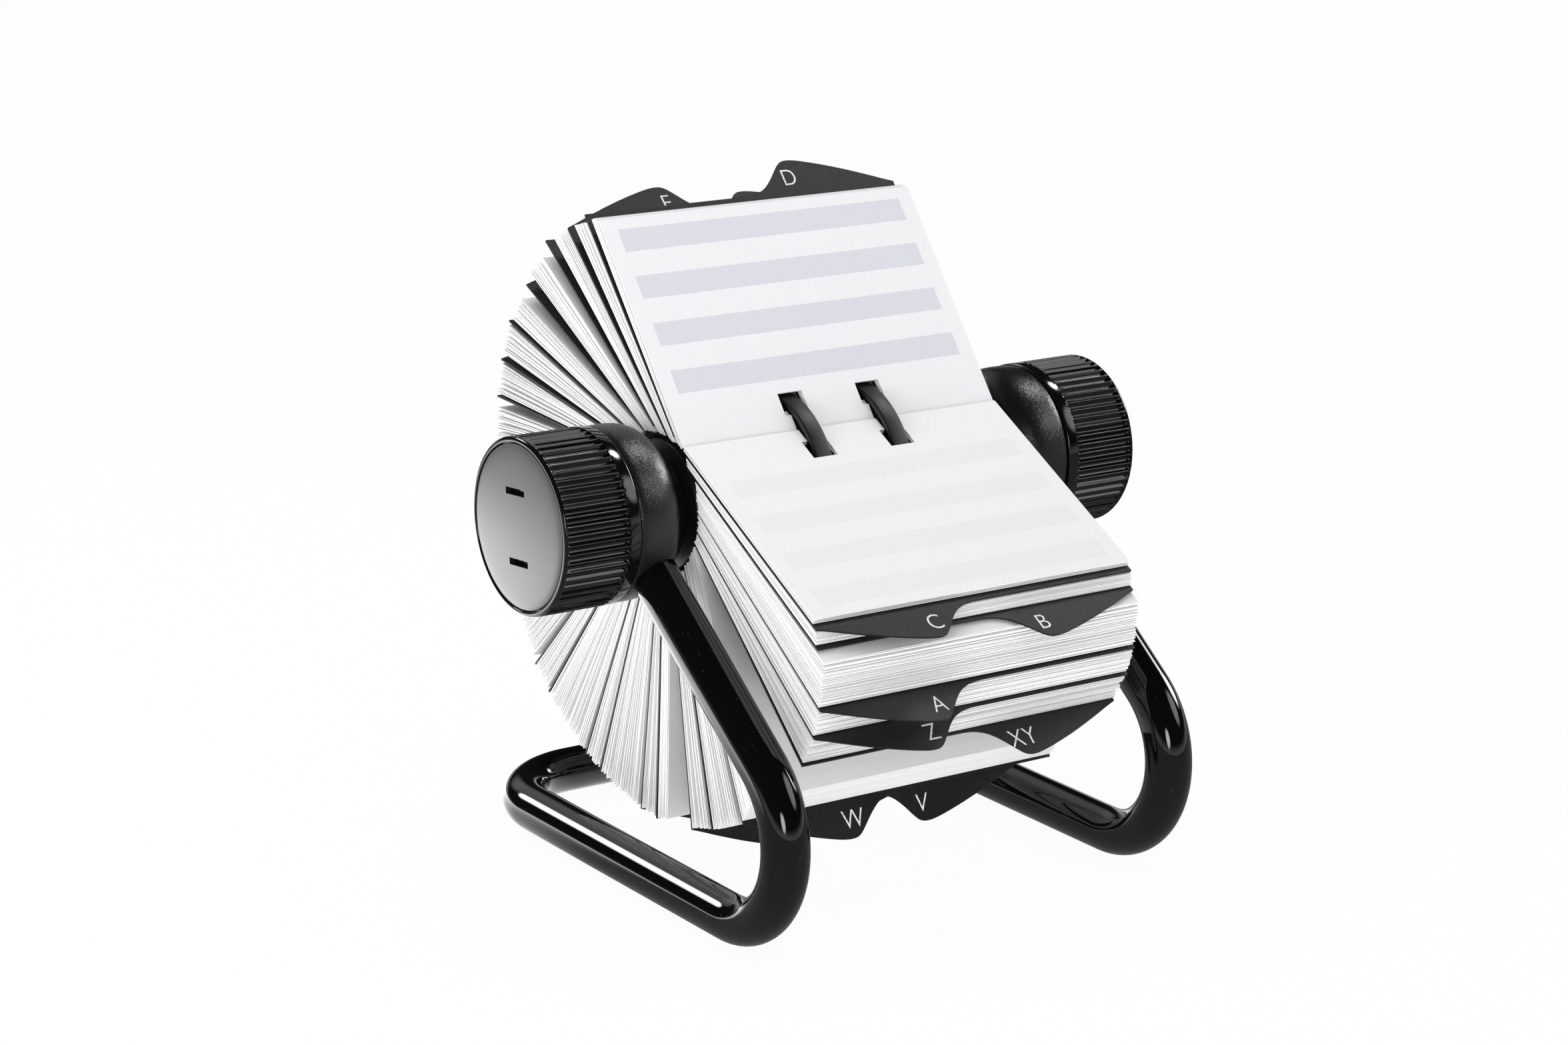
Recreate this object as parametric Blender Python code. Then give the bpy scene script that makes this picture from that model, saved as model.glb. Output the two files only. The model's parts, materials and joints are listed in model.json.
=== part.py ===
"""Rotary card file on a bent tube frame, modelled as the pieces it comes apart into.

The drum turns on the X axis, and the reader faces it from -Y. Z is up, and the
frame stands on z = 0. The origin is under the middle of the whole file.

A card stands square to the YZ plane. Its place is given by three values: its
turn, the angle of its outward direction round the axle (0 is towards the
reader, 90 is up, 180 is away); its offset, how far its plane passes in front
of the axle; and its reach, a distance along its outward direction.
"""

import math

import bmesh
import bpy
from mathutils import Matrix, Vector

MM = 0.001

# Clearances and cutter overruns
GAP = 0.3 * MM
OVERRUN = 2.0 * MM

# Cards and lettered guides
CARD_WIDTH = 104.0 * MM
CARD_HEIGHT = 69.5 * MM
CARD_THICKNESS = 0.4 * MM
GUIDE_THICKNESS = 0.5 * MM
GUIDE_OVERHANG = 0.4 * MM
TAB_HEIGHT = 10.3 * MM
WINDOW_WIDTH = 8.0 * MM
WINDOW_REACH = 11.6 * MM
NECK_WIDTH = 4.2 * MM
NECK_LENGTH = 4.8 * MM
SHOULDER_CLEARANCE = 0.4 * MM
WINDOW_CLEARANCE = 0.2 * MM
CARD_SIDE_CLEARANCE = 1.0 * MM

# Half of a guide's tab, from its outer corner over the peak to the middle:
# each point is a share of the half width and a share of the tab's height.
TAB_SHARES = (
    (0.86, 0.27),
    (0.68, 0.60),
    (0.48, 0.89),
    (0.36, 1.00),
    (0.31, 0.96),
    (0.26, 0.72),
    (0.19, 0.36),
    (0.10, 0.09),
)

# The fan of cards. Each guide has its place in the fan, by the turn of its outer
# corner, its depth between the planes of the open pair, and its slack: 0 where it
# hangs by its shoulders from the rails, 1 where it has dropped onto them.
FAN_START = math.radians(116.3)
FAN_SPAN = math.radians(232.1)
GUIDE_LETTERS = (
    "d", "e", "f", "g", "h", "i", "j", "k", "l", "m", "n", "o", "p",
    "q", "r", "s", "t", "u", "v", "w", "xy", "z", "a", "b", "c",
)
GUIDE_FAN_SHARES = (
    0.000, 0.031, 0.069, 0.121, 0.166, 0.203, 0.236, 0.280, 0.326,
    0.372, 0.418, 0.463, 0.490, 0.557, 0.580, 0.642, 0.664, 0.714,
    0.743, 0.788, 0.889, 0.918, 0.942, 0.985, 1.000,
)
GUIDE_DEPTH_SHARES = (
    0.035, 0.074, 0.112, 0.151, 0.190, 0.229, 0.268, 0.306, 0.344,
    0.377, 0.411, 0.442, 0.468, 0.499, 0.525, 0.552, 0.572, 0.594,
    0.616, 0.640, 0.671, 0.711, 0.795, 0.914, 0.969,
)
GUIDE_SLACK_SHARES = (
    0.05, 0.46, 0.00, 0.62, 0.25, 0.41, 0.58, 0.45, 0.35,
    0.30, 0.25, 0.10, 0.20, 0.15, 0.20, 0.15, 0.10, 0.10,
    0.10, 0.00, 0.00, 0.00, 0.00, 0.95, 0.95,
)

# The open pair of cards that face the reader
UPPER_CORNER = math.radians(111.88)
UPPER_OFFSET = 22.0 * MM
UPPER_SLACK_SHARE = 0.39
LOWER_CORNER = math.radians(350.0)
LOWER_OFFSET = -23.3 * MM
FLIP_REACH = 3.9 * MM
FLIP_EDGE = 0.4 * MM
FLIP_NECK = 1.9 * MM

# Packs of cards, each between two sheets. Each has its slack on the rails and the
# shares of the room at its outer edge that stay free ahead of it and behind it.
PACK_SLACK_SHARES = (
    0.45, 0.62, 0.50, 0.45, 0.40, 0.30, 0.45, 0.50, 0.40,
    0.30, 0.30, 0.15, 0.10, 0.10, 0.15, 0.15, 0.10, 0.10,
    0.10, 0.00, 0.00, 0.00, 0.00, 0.00, 0.95, 0.95,
)
PACK_FREE_SHARES = (
    (0.00, 0.45), (0.05, 0.33), (0.03, 0.33), (0.25, 0.25), (0.35, 0.08),
    (0.05, 0.15), (0.05, 0.08), (0.20, 0.05), (0.10, 0.15), (0.10, 0.10),
    (0.15, 0.10), (0.10, 0.12), (0.05, 0.10), (0.12, 0.10), (0.10, 0.15),
    (0.10, 0.10), (0.05, 0.10), (0.03, 0.70), (0.02, 0.15), (0.05, 0.15),
    (0.00, 0.76), (0.02, 0.04), (0.02, 0.05), (0.02, 0.04), (0.02, 0.05),
    (0.05, 0.05),
)
PACK_GROUP = 3
PACK_SPINE = 0.8 * MM

# Slots in a card's inner edge, one for each rail, and the corners of a slot's outline
SLOTS = 2
SLOT_CORNERS = 8

# Card rails
RAIL_RADIUS = 27.2 * MM
RAIL_RIM_THICKNESS = 1.6 * MM
RAIL_RIM_WIDTH = 5.2 * MM
RAIL_WEB_THICKNESS = 3.0 * MM
RAIL_SPACING = 25.8 * MM

# Drum core, drum ends and axle
CORE_RADIUS = 18.0 * MM
CORE_WALL = 2.4 * MM
END_RADIUS = 18.2 * MM
END_THICKNESS = 2.0 * MM
END_SET_IN = 1.5 * MM
END_SPIGOT = 3.0 * MM
END_HUB_RADIUS = 7.5 * MM
END_HUB_PROUD = 0.9 * MM
AXLE_RADIUS = 4.0 * MM
AXLE_HEIGHT = 104.8 * MM

# Tube frame, on its centreline
TUBE_RADIUS = 6.5 * MM
FRAME_FRONT = 81.5 * MM
FRAME_BACK = 70.0 * MM
BEND_RADIUS = 25.5 * MM
TUBE_SIDES = 12
FRONT_BEND_STEPS = 9
BACK_BEND_STEPS = 6
TUBE_END_REACH = 10.0 * MM

# Bearing housings, bushes and the grub screws that hold the tube
HOUSING_INNER_WALL = 4.4 * MM
HOUSING_OUTER_WALL = 0.9 * MM
HOUSING_RADIUS = 24.1 * MM
HOUSING_SHARES = (
    (0.000, 0.690),
    (0.020, 0.715),
    (0.170, 0.755),
    (0.190, 0.800),
    (0.260, 0.885),
    (0.370, 0.955),
    (0.520, 0.992),
    (0.700, 1.000),
    (0.970, 0.992),
    (1.000, 0.978),
)
BUSH_WALL = 2.7 * MM
BUSH_COLLAR_RADIUS = 9.5 * MM
BUSH_COLLAR_THICKNESS = 1.0 * MM
GRUB_RADIUS = 1.5 * MM
GRUB_REACH = 13.6 * MM
GRUB_SET_IN = 0.5 * MM
GRUB_SOCKET_RADIUS = 0.8 * MM
GRUB_SOCKET_DEPTH = 1.5 * MM

# Friction disc and wave spring of the clutch
DISC_THICKNESS = 1.2 * MM
DISC_INNER_RADIUS = 7.6 * MM
DISC_RADIUS = 12.5 * MM
SPRING_INNER_RADIUS = 8.2 * MM
SPRING_RADIUS = 12.2 * MM
SPRING_THICKNESS = 0.6 * MM
SPRING_WAVE = 0.9 * MM
SPRING_WAVES = 3

# Knobs, caps and the screws on the axle's ends
KNOB_LENGTH = 24.0 * MM
KNOB_RADIUS = 24.3 * MM
KNOB_BAND = 2.9 * MM
KNOB_RIBS = 60
RIB_DEPTH = 1.2 * MM
RIB_RUNOUT = 0.9 * MM
KNOB_RIM = 2.4 * MM
KNOB_FACE_RADIUS = 23.4 * MM
KNOB_CAVITY_RADIUS = 20.0 * MM
KNOB_CAVITY_DEPTH = 16.0 * MM
KNOB_BOSS_RADIUS = 14.5 * MM
CAP_RADIUS = 22.5 * MM
CAP_THICKNESS = 2.0 * MM
CAP_SLOT_LENGTH = 9.6 * MM
CAP_SLOT_WIDTH = 1.9 * MM
CAP_SLOT_HEIGHT = 9.6 * MM
SCREW_RADIUS = 2.0 * MM
SCREW_HEAD_RADIUS = 3.8 * MM
SCREW_HEAD_THICKNESS = 2.2 * MM
SCREW_DEPTH = 9.0 * MM
SCREW_SEAT_WALL = 2.5 * MM
SCREW_DRIVE_RADIUS = 1.2 * MM
SCREW_DRIVE_DEPTH = 1.2 * MM

# Sides of the round pieces, and the angle from which their edges shade sharp
RAIL_SIDES = 36
PLAIN_SIDES = 24
SMALL_SIDES = 18
TINY_SIDES = 12
SHARP_ANGLE = math.radians(35)

END_FACE_X = CARD_WIDTH / 2 - END_SET_IN
HOUSING_INNER_X = CARD_WIDTH / 2 + CARD_SIDE_CLEARANCE
FRAME_HALF_WIDTH = HOUSING_INNER_X + HOUSING_INNER_WALL + TUBE_RADIUS
HOUSING_OUTER_X = FRAME_HALF_WIDTH + TUBE_RADIUS + HOUSING_OUTER_WALL
RAIL_BORE = CORE_RADIUS + GAP
RIM_UNDERSIDE = RAIL_RADIUS - RAIL_RIM_THICKNESS
KNOB_INNER_X = HOUSING_OUTER_X + GAP
KNOB_OUTER_X = KNOB_INNER_X + KNOB_LENGTH
DISC_X = HOUSING_OUTER_X + GAP
SPRING_X = DISC_X + DISC_THICKNESS + GAP
BOSS_X = SPRING_X + 2 * SPRING_WAVE + SPRING_THICKNESS + GAP
SCREW_SEAT_X = KNOB_OUTER_X - CAP_THICKNESS - 2 * GAP - SCREW_HEAD_THICKNESS
AXLE_HALF_LENGTH = SCREW_SEAT_X - SCREW_SEAT_WALL - GAP


def outward(turn):
    """Unit vector (y, z) at a turn round the axle."""
    return Vector((0.0, -math.cos(turn), math.sin(turn)))


def forward(turn):
    """Unit vector (y, z) square to a card, towards the cards in front of it."""
    return outward(turn - math.pi / 2)


def place(turn, offset, reach, x=0.0):
    """A point of a card, measured from the axle."""
    spot = forward(turn) * offset + outward(turn) * reach
    spot.x = x
    return spot


def shoulder_reach(offset):
    """Where a card passes under the rim of a rail, less its clearance."""
    return math.sqrt(RIM_UNDERSIDE ** 2 - offset ** 2) - SHOULDER_CLEARANCE


def inner_reach(offset, slack):
    """Where a card's inner edge lies, from hanging by its shoulders to resting on the rails."""
    hanging = shoulder_reach(offset) - NECK_LENGTH
    resting = math.sqrt(RAIL_RADIUS ** 2 - offset ** 2) + WINDOW_CLEARANCE - WINDOW_REACH
    return hanging + (resting - hanging) * slack


def plane(corner, offset, inner):
    """The turn, offset and inner reach of a sheet whose outer corner is at a turn round the axle."""
    return (corner + math.atan2(offset, inner + CARD_HEIGHT), offset, inner)


def guide_planes():
    """The plane of each guide, from the front card backwards."""
    planes = []
    for share, depth, slack in zip(GUIDE_FAN_SHARES, GUIDE_DEPTH_SHARES, GUIDE_SLACK_SHARES):
        offset = UPPER_OFFSET + (LOWER_OFFSET - UPPER_OFFSET) * depth
        planes.append(plane(FAN_START + FAN_SPAN * share, offset, inner_reach(offset, slack)))
    return planes


def tab_reach(inner):
    """How far out the peak of a guide's tab stands."""
    return inner + CARD_HEIGHT + GUIDE_OVERHANG + TAB_HEIGHT


GUIDE_PLANES = guide_planes()
UPPER_PLANE = plane(UPPER_CORNER, UPPER_OFFSET, inner_reach(UPPER_OFFSET, UPPER_SLACK_SHARE))
LOWER_PLANE = plane(LOWER_CORNER, LOWER_OFFSET, FLIP_REACH - FLIP_EDGE)
TAB_PEAKS = [place(turn, offset, tab_reach(inner)).y for turn, offset, inner in GUIDE_PLANES]
BACK_EDGE = max(max(TAB_PEAKS), FRAME_BACK + TUBE_RADIUS)
FRONT_EDGE = max(-min(TAB_PEAKS), FRAME_FRONT + TUBE_RADIUS)
AXLE_Y = (FRONT_EDGE - BACK_EDGE) / 2
FLIP_AXIS = place(LOWER_PLANE[0], LOWER_OFFSET, FLIP_REACH)


def material(name, colour, roughness, metallic=0.0, coat=0.0):
    shade = bpy.data.materials.new(name)
    shade.use_nodes = True
    shader = shade.node_tree.nodes["Principled BSDF"]
    shader.inputs["Base Color"].default_value = (*colour, 1.0)
    shader.inputs["Roughness"].default_value = roughness
    shader.inputs["Metallic"].default_value = metallic
    shader.inputs["Coat Weight"].default_value = coat
    shade.diffuse_color = (*colour, 1.0)
    return shade


def link(name, mesh, shade=None, parent=None, smooth=False):
    piece = bpy.data.objects.new(name, mesh)
    bpy.context.scene.collection.objects.link(piece)
    if shade:
        mesh.materials.append(shade)
    if parent:
        piece.parent = parent
    if smooth:
        mesh.shade_smooth()
        mesh.set_sharp_from_angle(angle=SHARP_ANGLE)
    return piece


def empty(name, location, parent=None):
    anchor = bpy.data.objects.new(name, None)
    bpy.context.scene.collection.objects.link(anchor)
    anchor.location = location
    anchor.parent = parent
    return anchor


def mesh_from(work, name):
    bmesh.ops.recalc_face_normals(work, faces=work.faces)
    mesh = bpy.data.meshes.new(name)
    work.to_mesh(mesh)
    work.free()
    return mesh


def spun(profile, sides, ring):
    """Spin (x, radius) points round the X axis, as a ring or as a solid with flat ends."""
    work = bmesh.new()
    corners = [work.verts.new((x, 0.0, radius)) for x, radius in profile]
    edges = [work.edges.new(pair) for pair in zip(corners, corners[1:])]
    if ring:
        edges.append(work.edges.new((corners[-1], corners[0])))
    bmesh.ops.spin(
        work, geom=corners + edges, axis=(1.0, 0.0, 0.0), cent=(0.0, 0.0, 0.0),
        angle=2 * math.pi, steps=sides, use_merge=True,
    )
    if not ring:
        bmesh.ops.holes_fill(work, edges=work.edges)
    return work


def turned(name, profile, sides, shade=None, parent=None, ring=True):
    return link(name, mesh_from(spun(profile, sides, ring), name), shade, parent, smooth=True)


def mirrored(profile, side):
    return [(side * x, radius) for x, radius in profile]


def rod(name, radius, start, end, sides, shade=None, parent=None):
    """A round bar between two points."""
    axis = Vector(end) - Vector(start)
    work = bmesh.new()
    bmesh.ops.create_cone(
        work, cap_ends=True, segments=sides, radius1=radius, radius2=radius, depth=axis.length,
        matrix=Matrix.Translation((Vector(start) + Vector(end)) / 2)
        @ axis.to_track_quat("Z", "Y").to_matrix().to_4x4(),
    )
    return link(name, mesh_from(work, name), shade, parent, smooth=True)


def block(name, low, high, shade=None, parent=None):
    size = Vector(high) - Vector(low)
    work = bmesh.new()
    bmesh.ops.create_cube(
        work, size=1.0,
        matrix=Matrix.Translation((Vector(low) + Vector(high)) / 2) @ Matrix.Diagonal((*size, 1.0)),
    )
    return link(name, mesh_from(work, name), shade, parent)


def cut(piece, cutter):
    cutter.parent = piece.parent
    cutter.hide_render = True
    cutter.display_type = "WIRE"
    slot = piece.modifiers.new(cutter.name, "BOOLEAN")
    slot.operation = "DIFFERENCE"
    slot.object = cutter


def slotted_outline(inner, shoulder, window, outer, tab_side=0, raised=0.0):
    """Card outline (x, reach) with two keyhole slots and, on a guide, a tab."""
    half = CARD_WIDTH / 2
    inner += raised
    outline = [(-half, inner)]
    for centre in (-RAIL_SPACING / 2, RAIL_SPACING / 2):
        outline += [
            (centre - NECK_WIDTH / 2, inner),
            (centre - NECK_WIDTH / 2, shoulder),
            (centre - WINDOW_WIDTH / 2, shoulder),
            (centre - WINDOW_WIDTH / 2, window),
            (centre + WINDOW_WIDTH / 2, window),
            (centre + WINDOW_WIDTH / 2, shoulder),
            (centre + NECK_WIDTH / 2, shoulder),
            (centre + NECK_WIDTH / 2, inner),
        ]
    outline += [(half, inner), (half, outer)]
    if tab_side:
        tab = [(tab_side * half * across, outer + TAB_HEIGHT * up) for across, up in TAB_SHARES]
        tab.append((0.0, outer))
        outline += tab if tab_side > 0 else tab[::-1]
    outline.append((-half, outer))
    return outline


def face_ring(work, face, tab_side=0, overhang=0.0, raised=0.0, centre=Vector()):
    """The corners of one face of a sheet or pack: (turn, offset, inner, shoulder)."""
    turn, offset, inner, shoulder = face
    outline = slotted_outline(
        inner, shoulder, inner + WINDOW_REACH, inner + CARD_HEIGHT + overhang, tab_side, raised)
    return [work.verts.new(place(turn, offset, reach, x) - centre) for x, reach in outline]


def make_sheet(name, faces, shade, parent, **shape):
    """A card or a guide, from its two faces."""
    work = bmesh.new()
    front, back = [face_ring(work, face, **shape) for face in faces]
    work.faces.new(front)
    work.faces.new(back[::-1])
    for index in range(len(front)):
        after = (index + 1) % len(front)
        work.faces.new((front[index], back[index], back[after], front[after]))
    return link(name, mesh_from(work, name), shade, parent)


def make_comb(name, packs, shade, parent):
    """Packs of cards joined under the guides that part them, by a low spine at their inner edges.

    The inner edge runs between the corners of each pair in edges, from side to
    neck, neck to neck and neck to side, with a slot's corners between two pairs.
    Where a spine joins a face, the face starts at raised corners, one spine's
    height above the inner edge.
    """
    work = bmesh.new()
    edges = [(run * SLOT_CORNERS, run * SLOT_CORNERS + 1) for run in range(SLOTS + 1)]
    rings = []
    raised = []
    for number, face in enumerate(face for pack in packs for face in pack):
        rings.append(face_ring(work, face))
        turn, offset, inner, _ = face
        joined = 0 < number < 2 * len(packs) - 1
        lifts = {}
        for index in (corner for edge in edges for corner in edge if joined):
            x = rings[-1][index].co.x
            lifts[index] = work.verts.new(place(turn, offset, inner + PACK_SPINE, x))
        raised.append(lifts)

    for number, (ring, lifts) in enumerate(zip(rings, raised)):
        work.faces.new([lifts.get(index, corner) for index, corner in enumerate(ring)])
        if number % 2:
            continue
        other, other_lifts = rings[number + 1], raised[number + 1]
        for index in range(len(ring)):
            after = (index + 1) % len(ring)
            wall = [ring[after], ring[index], other[index], other[after]]
            if (index, after) not in edges:
                wall = [
                    ring[after], lifts.get(after), lifts.get(index), ring[index],
                    other[index], other_lifts.get(index), other_lifts.get(after), other[after],
                ]
            work.faces.new([corner for corner in wall if corner])

    for number in range(1, len(rings) - 1, 2):
        low, high = rings[number], raised[number]
        next_low, next_high = rings[number + 1], raised[number + 1]
        for left, right in edges:
            work.faces.new((low[left], low[right], next_low[right], next_low[left]))
            work.faces.new((high[left], high[right], next_high[right], next_high[left]))
            for index in (left, right):
                work.faces.new((low[index], high[index], next_high[index], next_low[index]))
    return link(name, mesh_from(work, name), shade, parent)


def sheet_faces(turn, offset, inner, thickness, neck=NECK_LENGTH):
    """The front and back face of a flat sheet centred on a plane."""
    return [(turn, offset + side * thickness / 2, inner, inner + neck) for side in (1, -1)]


def swung(turn, offset, inner, angle):
    """A face turned about its inner edge, with its shoulder still under the rim."""
    edge = place(turn, offset, inner)
    turn += angle
    offset = edge.dot(forward(turn))
    return (turn, offset, edge.dot(outward(turn)), shoulder_reach(offset))


def pack_faces(ahead, behind, ahead_thickness, behind_thickness, slack, free):
    """Faces of the pack of cards between two sheets, with the room left free on either side."""
    front_offset = ahead[1] - ahead_thickness / 2 - GAP
    back_offset = behind[1] + behind_thickness / 2 + GAP
    front = (ahead[0], front_offset, inner_reach(front_offset, slack))
    back = (behind[0], back_offset, inner_reach(back_offset, slack))
    front_tip = place(front[0], front[1], front[2] + CARD_HEIGHT)
    back_tip = place(back[0], back[1], back[2] + CARD_HEIGHT)
    swing = (front_tip - back_tip).length / CARD_HEIGHT
    return [swung(*front, swing * free[0]), swung(*back, -swing * free[1])]


def all_packs():
    """The two faces of every pack, from the upper front card back to the lower one."""
    sheets = [UPPER_PLANE] + GUIDE_PLANES + [LOWER_PLANE]
    thick = [CARD_THICKNESS] + [GUIDE_THICKNESS] * len(GUIDE_PLANES) + [CARD_THICKNESS]
    return [
        pack_faces(*sides)
        for sides in zip(sheets, sheets[1:], thick, thick[1:], PACK_SLACK_SHARES, PACK_FREE_SHARES)
    ]


def raised_edge(index, packs):
    """How far a guide's inner edge is cut back, to clear the spine of the packs round it."""
    if (index + 1) % PACK_GROUP == 0:
        return 0.0
    turn, _, inner = GUIDE_PLANES[index]
    edges = [place(*face[:3]) for face in (packs[index][1], packs[index + 1][0])]
    spine = max(edge.dot(outward(turn)) for edge in edges) + PACK_SPINE
    return max(spine + GAP - inner, 0.0)


def sweep(stations, radius, sides):
    """Sweep a polygon with a flat side downwards along (centre, tangent, side axis)."""
    work = bmesh.new()
    rings = []
    for centre, tangent, across in stations:
        down = tangent.cross(across)
        ring = []
        for index in range(sides):
            angle = 2 * math.pi * (index + 0.5) / sides
            spoke = across * math.cos(angle) + down * math.sin(angle)
            ring.append(work.verts.new(centre + spoke * radius))
        rings.append(ring)
    for ring, following in zip(rings, rings[1:]):
        for index in range(sides):
            after = (index + 1) % sides
            work.faces.new((ring[index], ring[after], following[after], following[index]))
    work.faces.new(rings[0])
    work.faces.new(rings[-1][::-1])
    return work


def frame_stations():
    """The tube's centreline from one arm's end, round the base, to the other's."""
    height = TUBE_RADIUS * math.cos(math.pi / TUBE_SIDES)
    bend = Vector((-FRAME_HALF_WIDTH, -FRAME_FRONT + BEND_RADIUS, height + BEND_RADIUS))
    drop = AXLE_HEIGHT - bend.z
    slope = math.atan2(drop, -bend.y) - math.asin(BEND_RADIUS / math.hypot(bend.y, drop))
    arm = Vector((0.0, -math.cos(slope), -math.sin(slope)))
    across = Vector((1.0, 0.0, 0.0))
    axle_end = Vector((-FRAME_HALF_WIDTH, 0.0, AXLE_HEIGHT))
    half = [(axle_end + arm * TUBE_END_REACH, arm, across)]
    for step in range(FRONT_BEND_STEPS + 1):
        angle = slope + (math.pi - slope) * step / FRONT_BEND_STEPS
        tangent = Vector((0.0, -math.cos(angle), -math.sin(angle)))
        radial = Vector((0.0, tangent.z, -tangent.y))
        half.append((bend + radial * BEND_RADIUS, tangent, across))
    corner = Vector((BEND_RADIUS - FRAME_HALF_WIDTH, FRAME_BACK - BEND_RADIUS, height))
    for step in range(BACK_BEND_STEPS + 1):
        angle = math.pi / 2 * step / BACK_BEND_STEPS
        tangent = Vector((math.sin(angle), math.cos(angle), 0.0))
        across = tangent.cross(Vector((0.0, 0.0, 1.0)))
        half.append((corner - across * BEND_RADIUS, tangent, across))
    mirror = Vector((-1.0, 1.0, 1.0))
    return half + [
        (point * mirror, -(tangent * mirror), across * mirror)
        for point, tangent, across in reversed(half)
    ], arm


def make_frame(shade, base):
    """The bent tube that the file stands on. Gives the direction of its arms from the axle."""
    stations, arm = frame_stations()
    tube = mesh_from(sweep(stations, TUBE_RADIUS, TUBE_SIDES), "tube_frame")
    link("tube_frame", tube, shade, base, smooth=True)
    return arm


def make_bearing(side, word, arm, shades, axis):
    """One side's housing on its arm, its bush, grub screw, friction disc and wave spring."""
    bush_bore = AXLE_RADIUS + GAP
    bush_radius = bush_bore + BUSH_WALL
    length = HOUSING_OUTER_X - HOUSING_INNER_X
    shell = [(HOUSING_INNER_X + length * along, HOUSING_RADIUS * out) for along, out in HOUSING_SHARES]
    shell += [(HOUSING_OUTER_X, bush_radius + GAP), (HOUSING_INNER_X, bush_radius + GAP)]
    housing = turned(word + "_bearing_housing", mirrored(shell, side), PLAIN_SIDES,
                     shades["housing"], axis)

    socket_radius = (TUBE_RADIUS + GAP) / math.cos(math.pi / SMALL_SIDES)
    middle = Vector((side * FRAME_HALF_WIDTH, 0.0, 0.0))
    cut(housing, rod(word + "_socket_cutter", socket_radius, middle + arm * (TUBE_END_REACH - GAP),
                     middle + arm * (HOUSING_RADIUS + TUBE_RADIUS), SMALL_SIDES, parent=axis))
    grub_spot = arm * GRUB_REACH
    grub_hole_start = Vector((side * (HOUSING_INNER_X - OVERRUN), 0.0, 0.0)) + grub_spot
    grub_hole_end = middle + grub_spot
    cut(housing, rod(word + "_grub_cutter", GRUB_RADIUS + GAP, grub_hole_start, grub_hole_end,
                     TINY_SIDES, parent=axis))

    collar_x = HOUSING_INNER_X - GAP
    bush = [
        (collar_x - BUSH_COLLAR_THICKNESS, bush_bore),
        (collar_x - BUSH_COLLAR_THICKNESS, BUSH_COLLAR_RADIUS),
        (collar_x, BUSH_COLLAR_RADIUS),
        (collar_x, bush_radius),
        (HOUSING_OUTER_X - GAP, bush_radius),
        (HOUSING_OUTER_X - GAP, bush_bore),
    ]
    turned(word + "_bearing_bush", mirrored(bush, side), SMALL_SIDES, shades["nylon"], axis)

    disc = [
        (DISC_X, DISC_INNER_RADIUS),
        (DISC_X, DISC_RADIUS),
        (DISC_X + DISC_THICKNESS, DISC_RADIUS),
        (DISC_X + DISC_THICKNESS, DISC_INNER_RADIUS),
    ]
    turned(word + "_friction_disc", mirrored(disc, side), SMALL_SIDES, shades["rubber"], axis)

    grub_start = HOUSING_INNER_X + GRUB_SET_IN
    grub_end = FRAME_HALF_WIDTH - TUBE_RADIUS - GAP
    grub_profile = [
        (grub_start + GRUB_SOCKET_DEPTH, GRUB_SOCKET_RADIUS),
        (grub_start, GRUB_SOCKET_RADIUS),
        (grub_start, GRUB_RADIUS),
        (grub_end, GRUB_RADIUS),
    ]
    grub = turned(word + "_grub_screw", mirrored(grub_profile, side), TINY_SIDES, shades["steel"],
                  axis, ring=False)
    grub.location = grub_spot


def make_spring(side, word, shade, drum):
    """A wave spring: a flat ring that swells SPRING_WAVES times each way round."""
    middle_x = SPRING_X + SPRING_WAVE + SPRING_THICKNESS / 2
    flat = [
        (-SPRING_THICKNESS / 2, SPRING_INNER_RADIUS),
        (-SPRING_THICKNESS / 2, SPRING_RADIUS),
        (SPRING_THICKNESS / 2, SPRING_RADIUS),
        (SPRING_THICKNESS / 2, SPRING_INNER_RADIUS),
    ]
    work = spun(flat, PLAIN_SIDES, ring=True)
    for vert in work.verts:
        angle = math.atan2(vert.co.z, vert.co.y)
        vert.co.x += side * (middle_x + SPRING_WAVE * math.cos(SPRING_WAVES * angle))
    link(word + "_clutch_spring", mesh_from(work, word + "_clutch_spring"), shade, drum)


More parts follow.
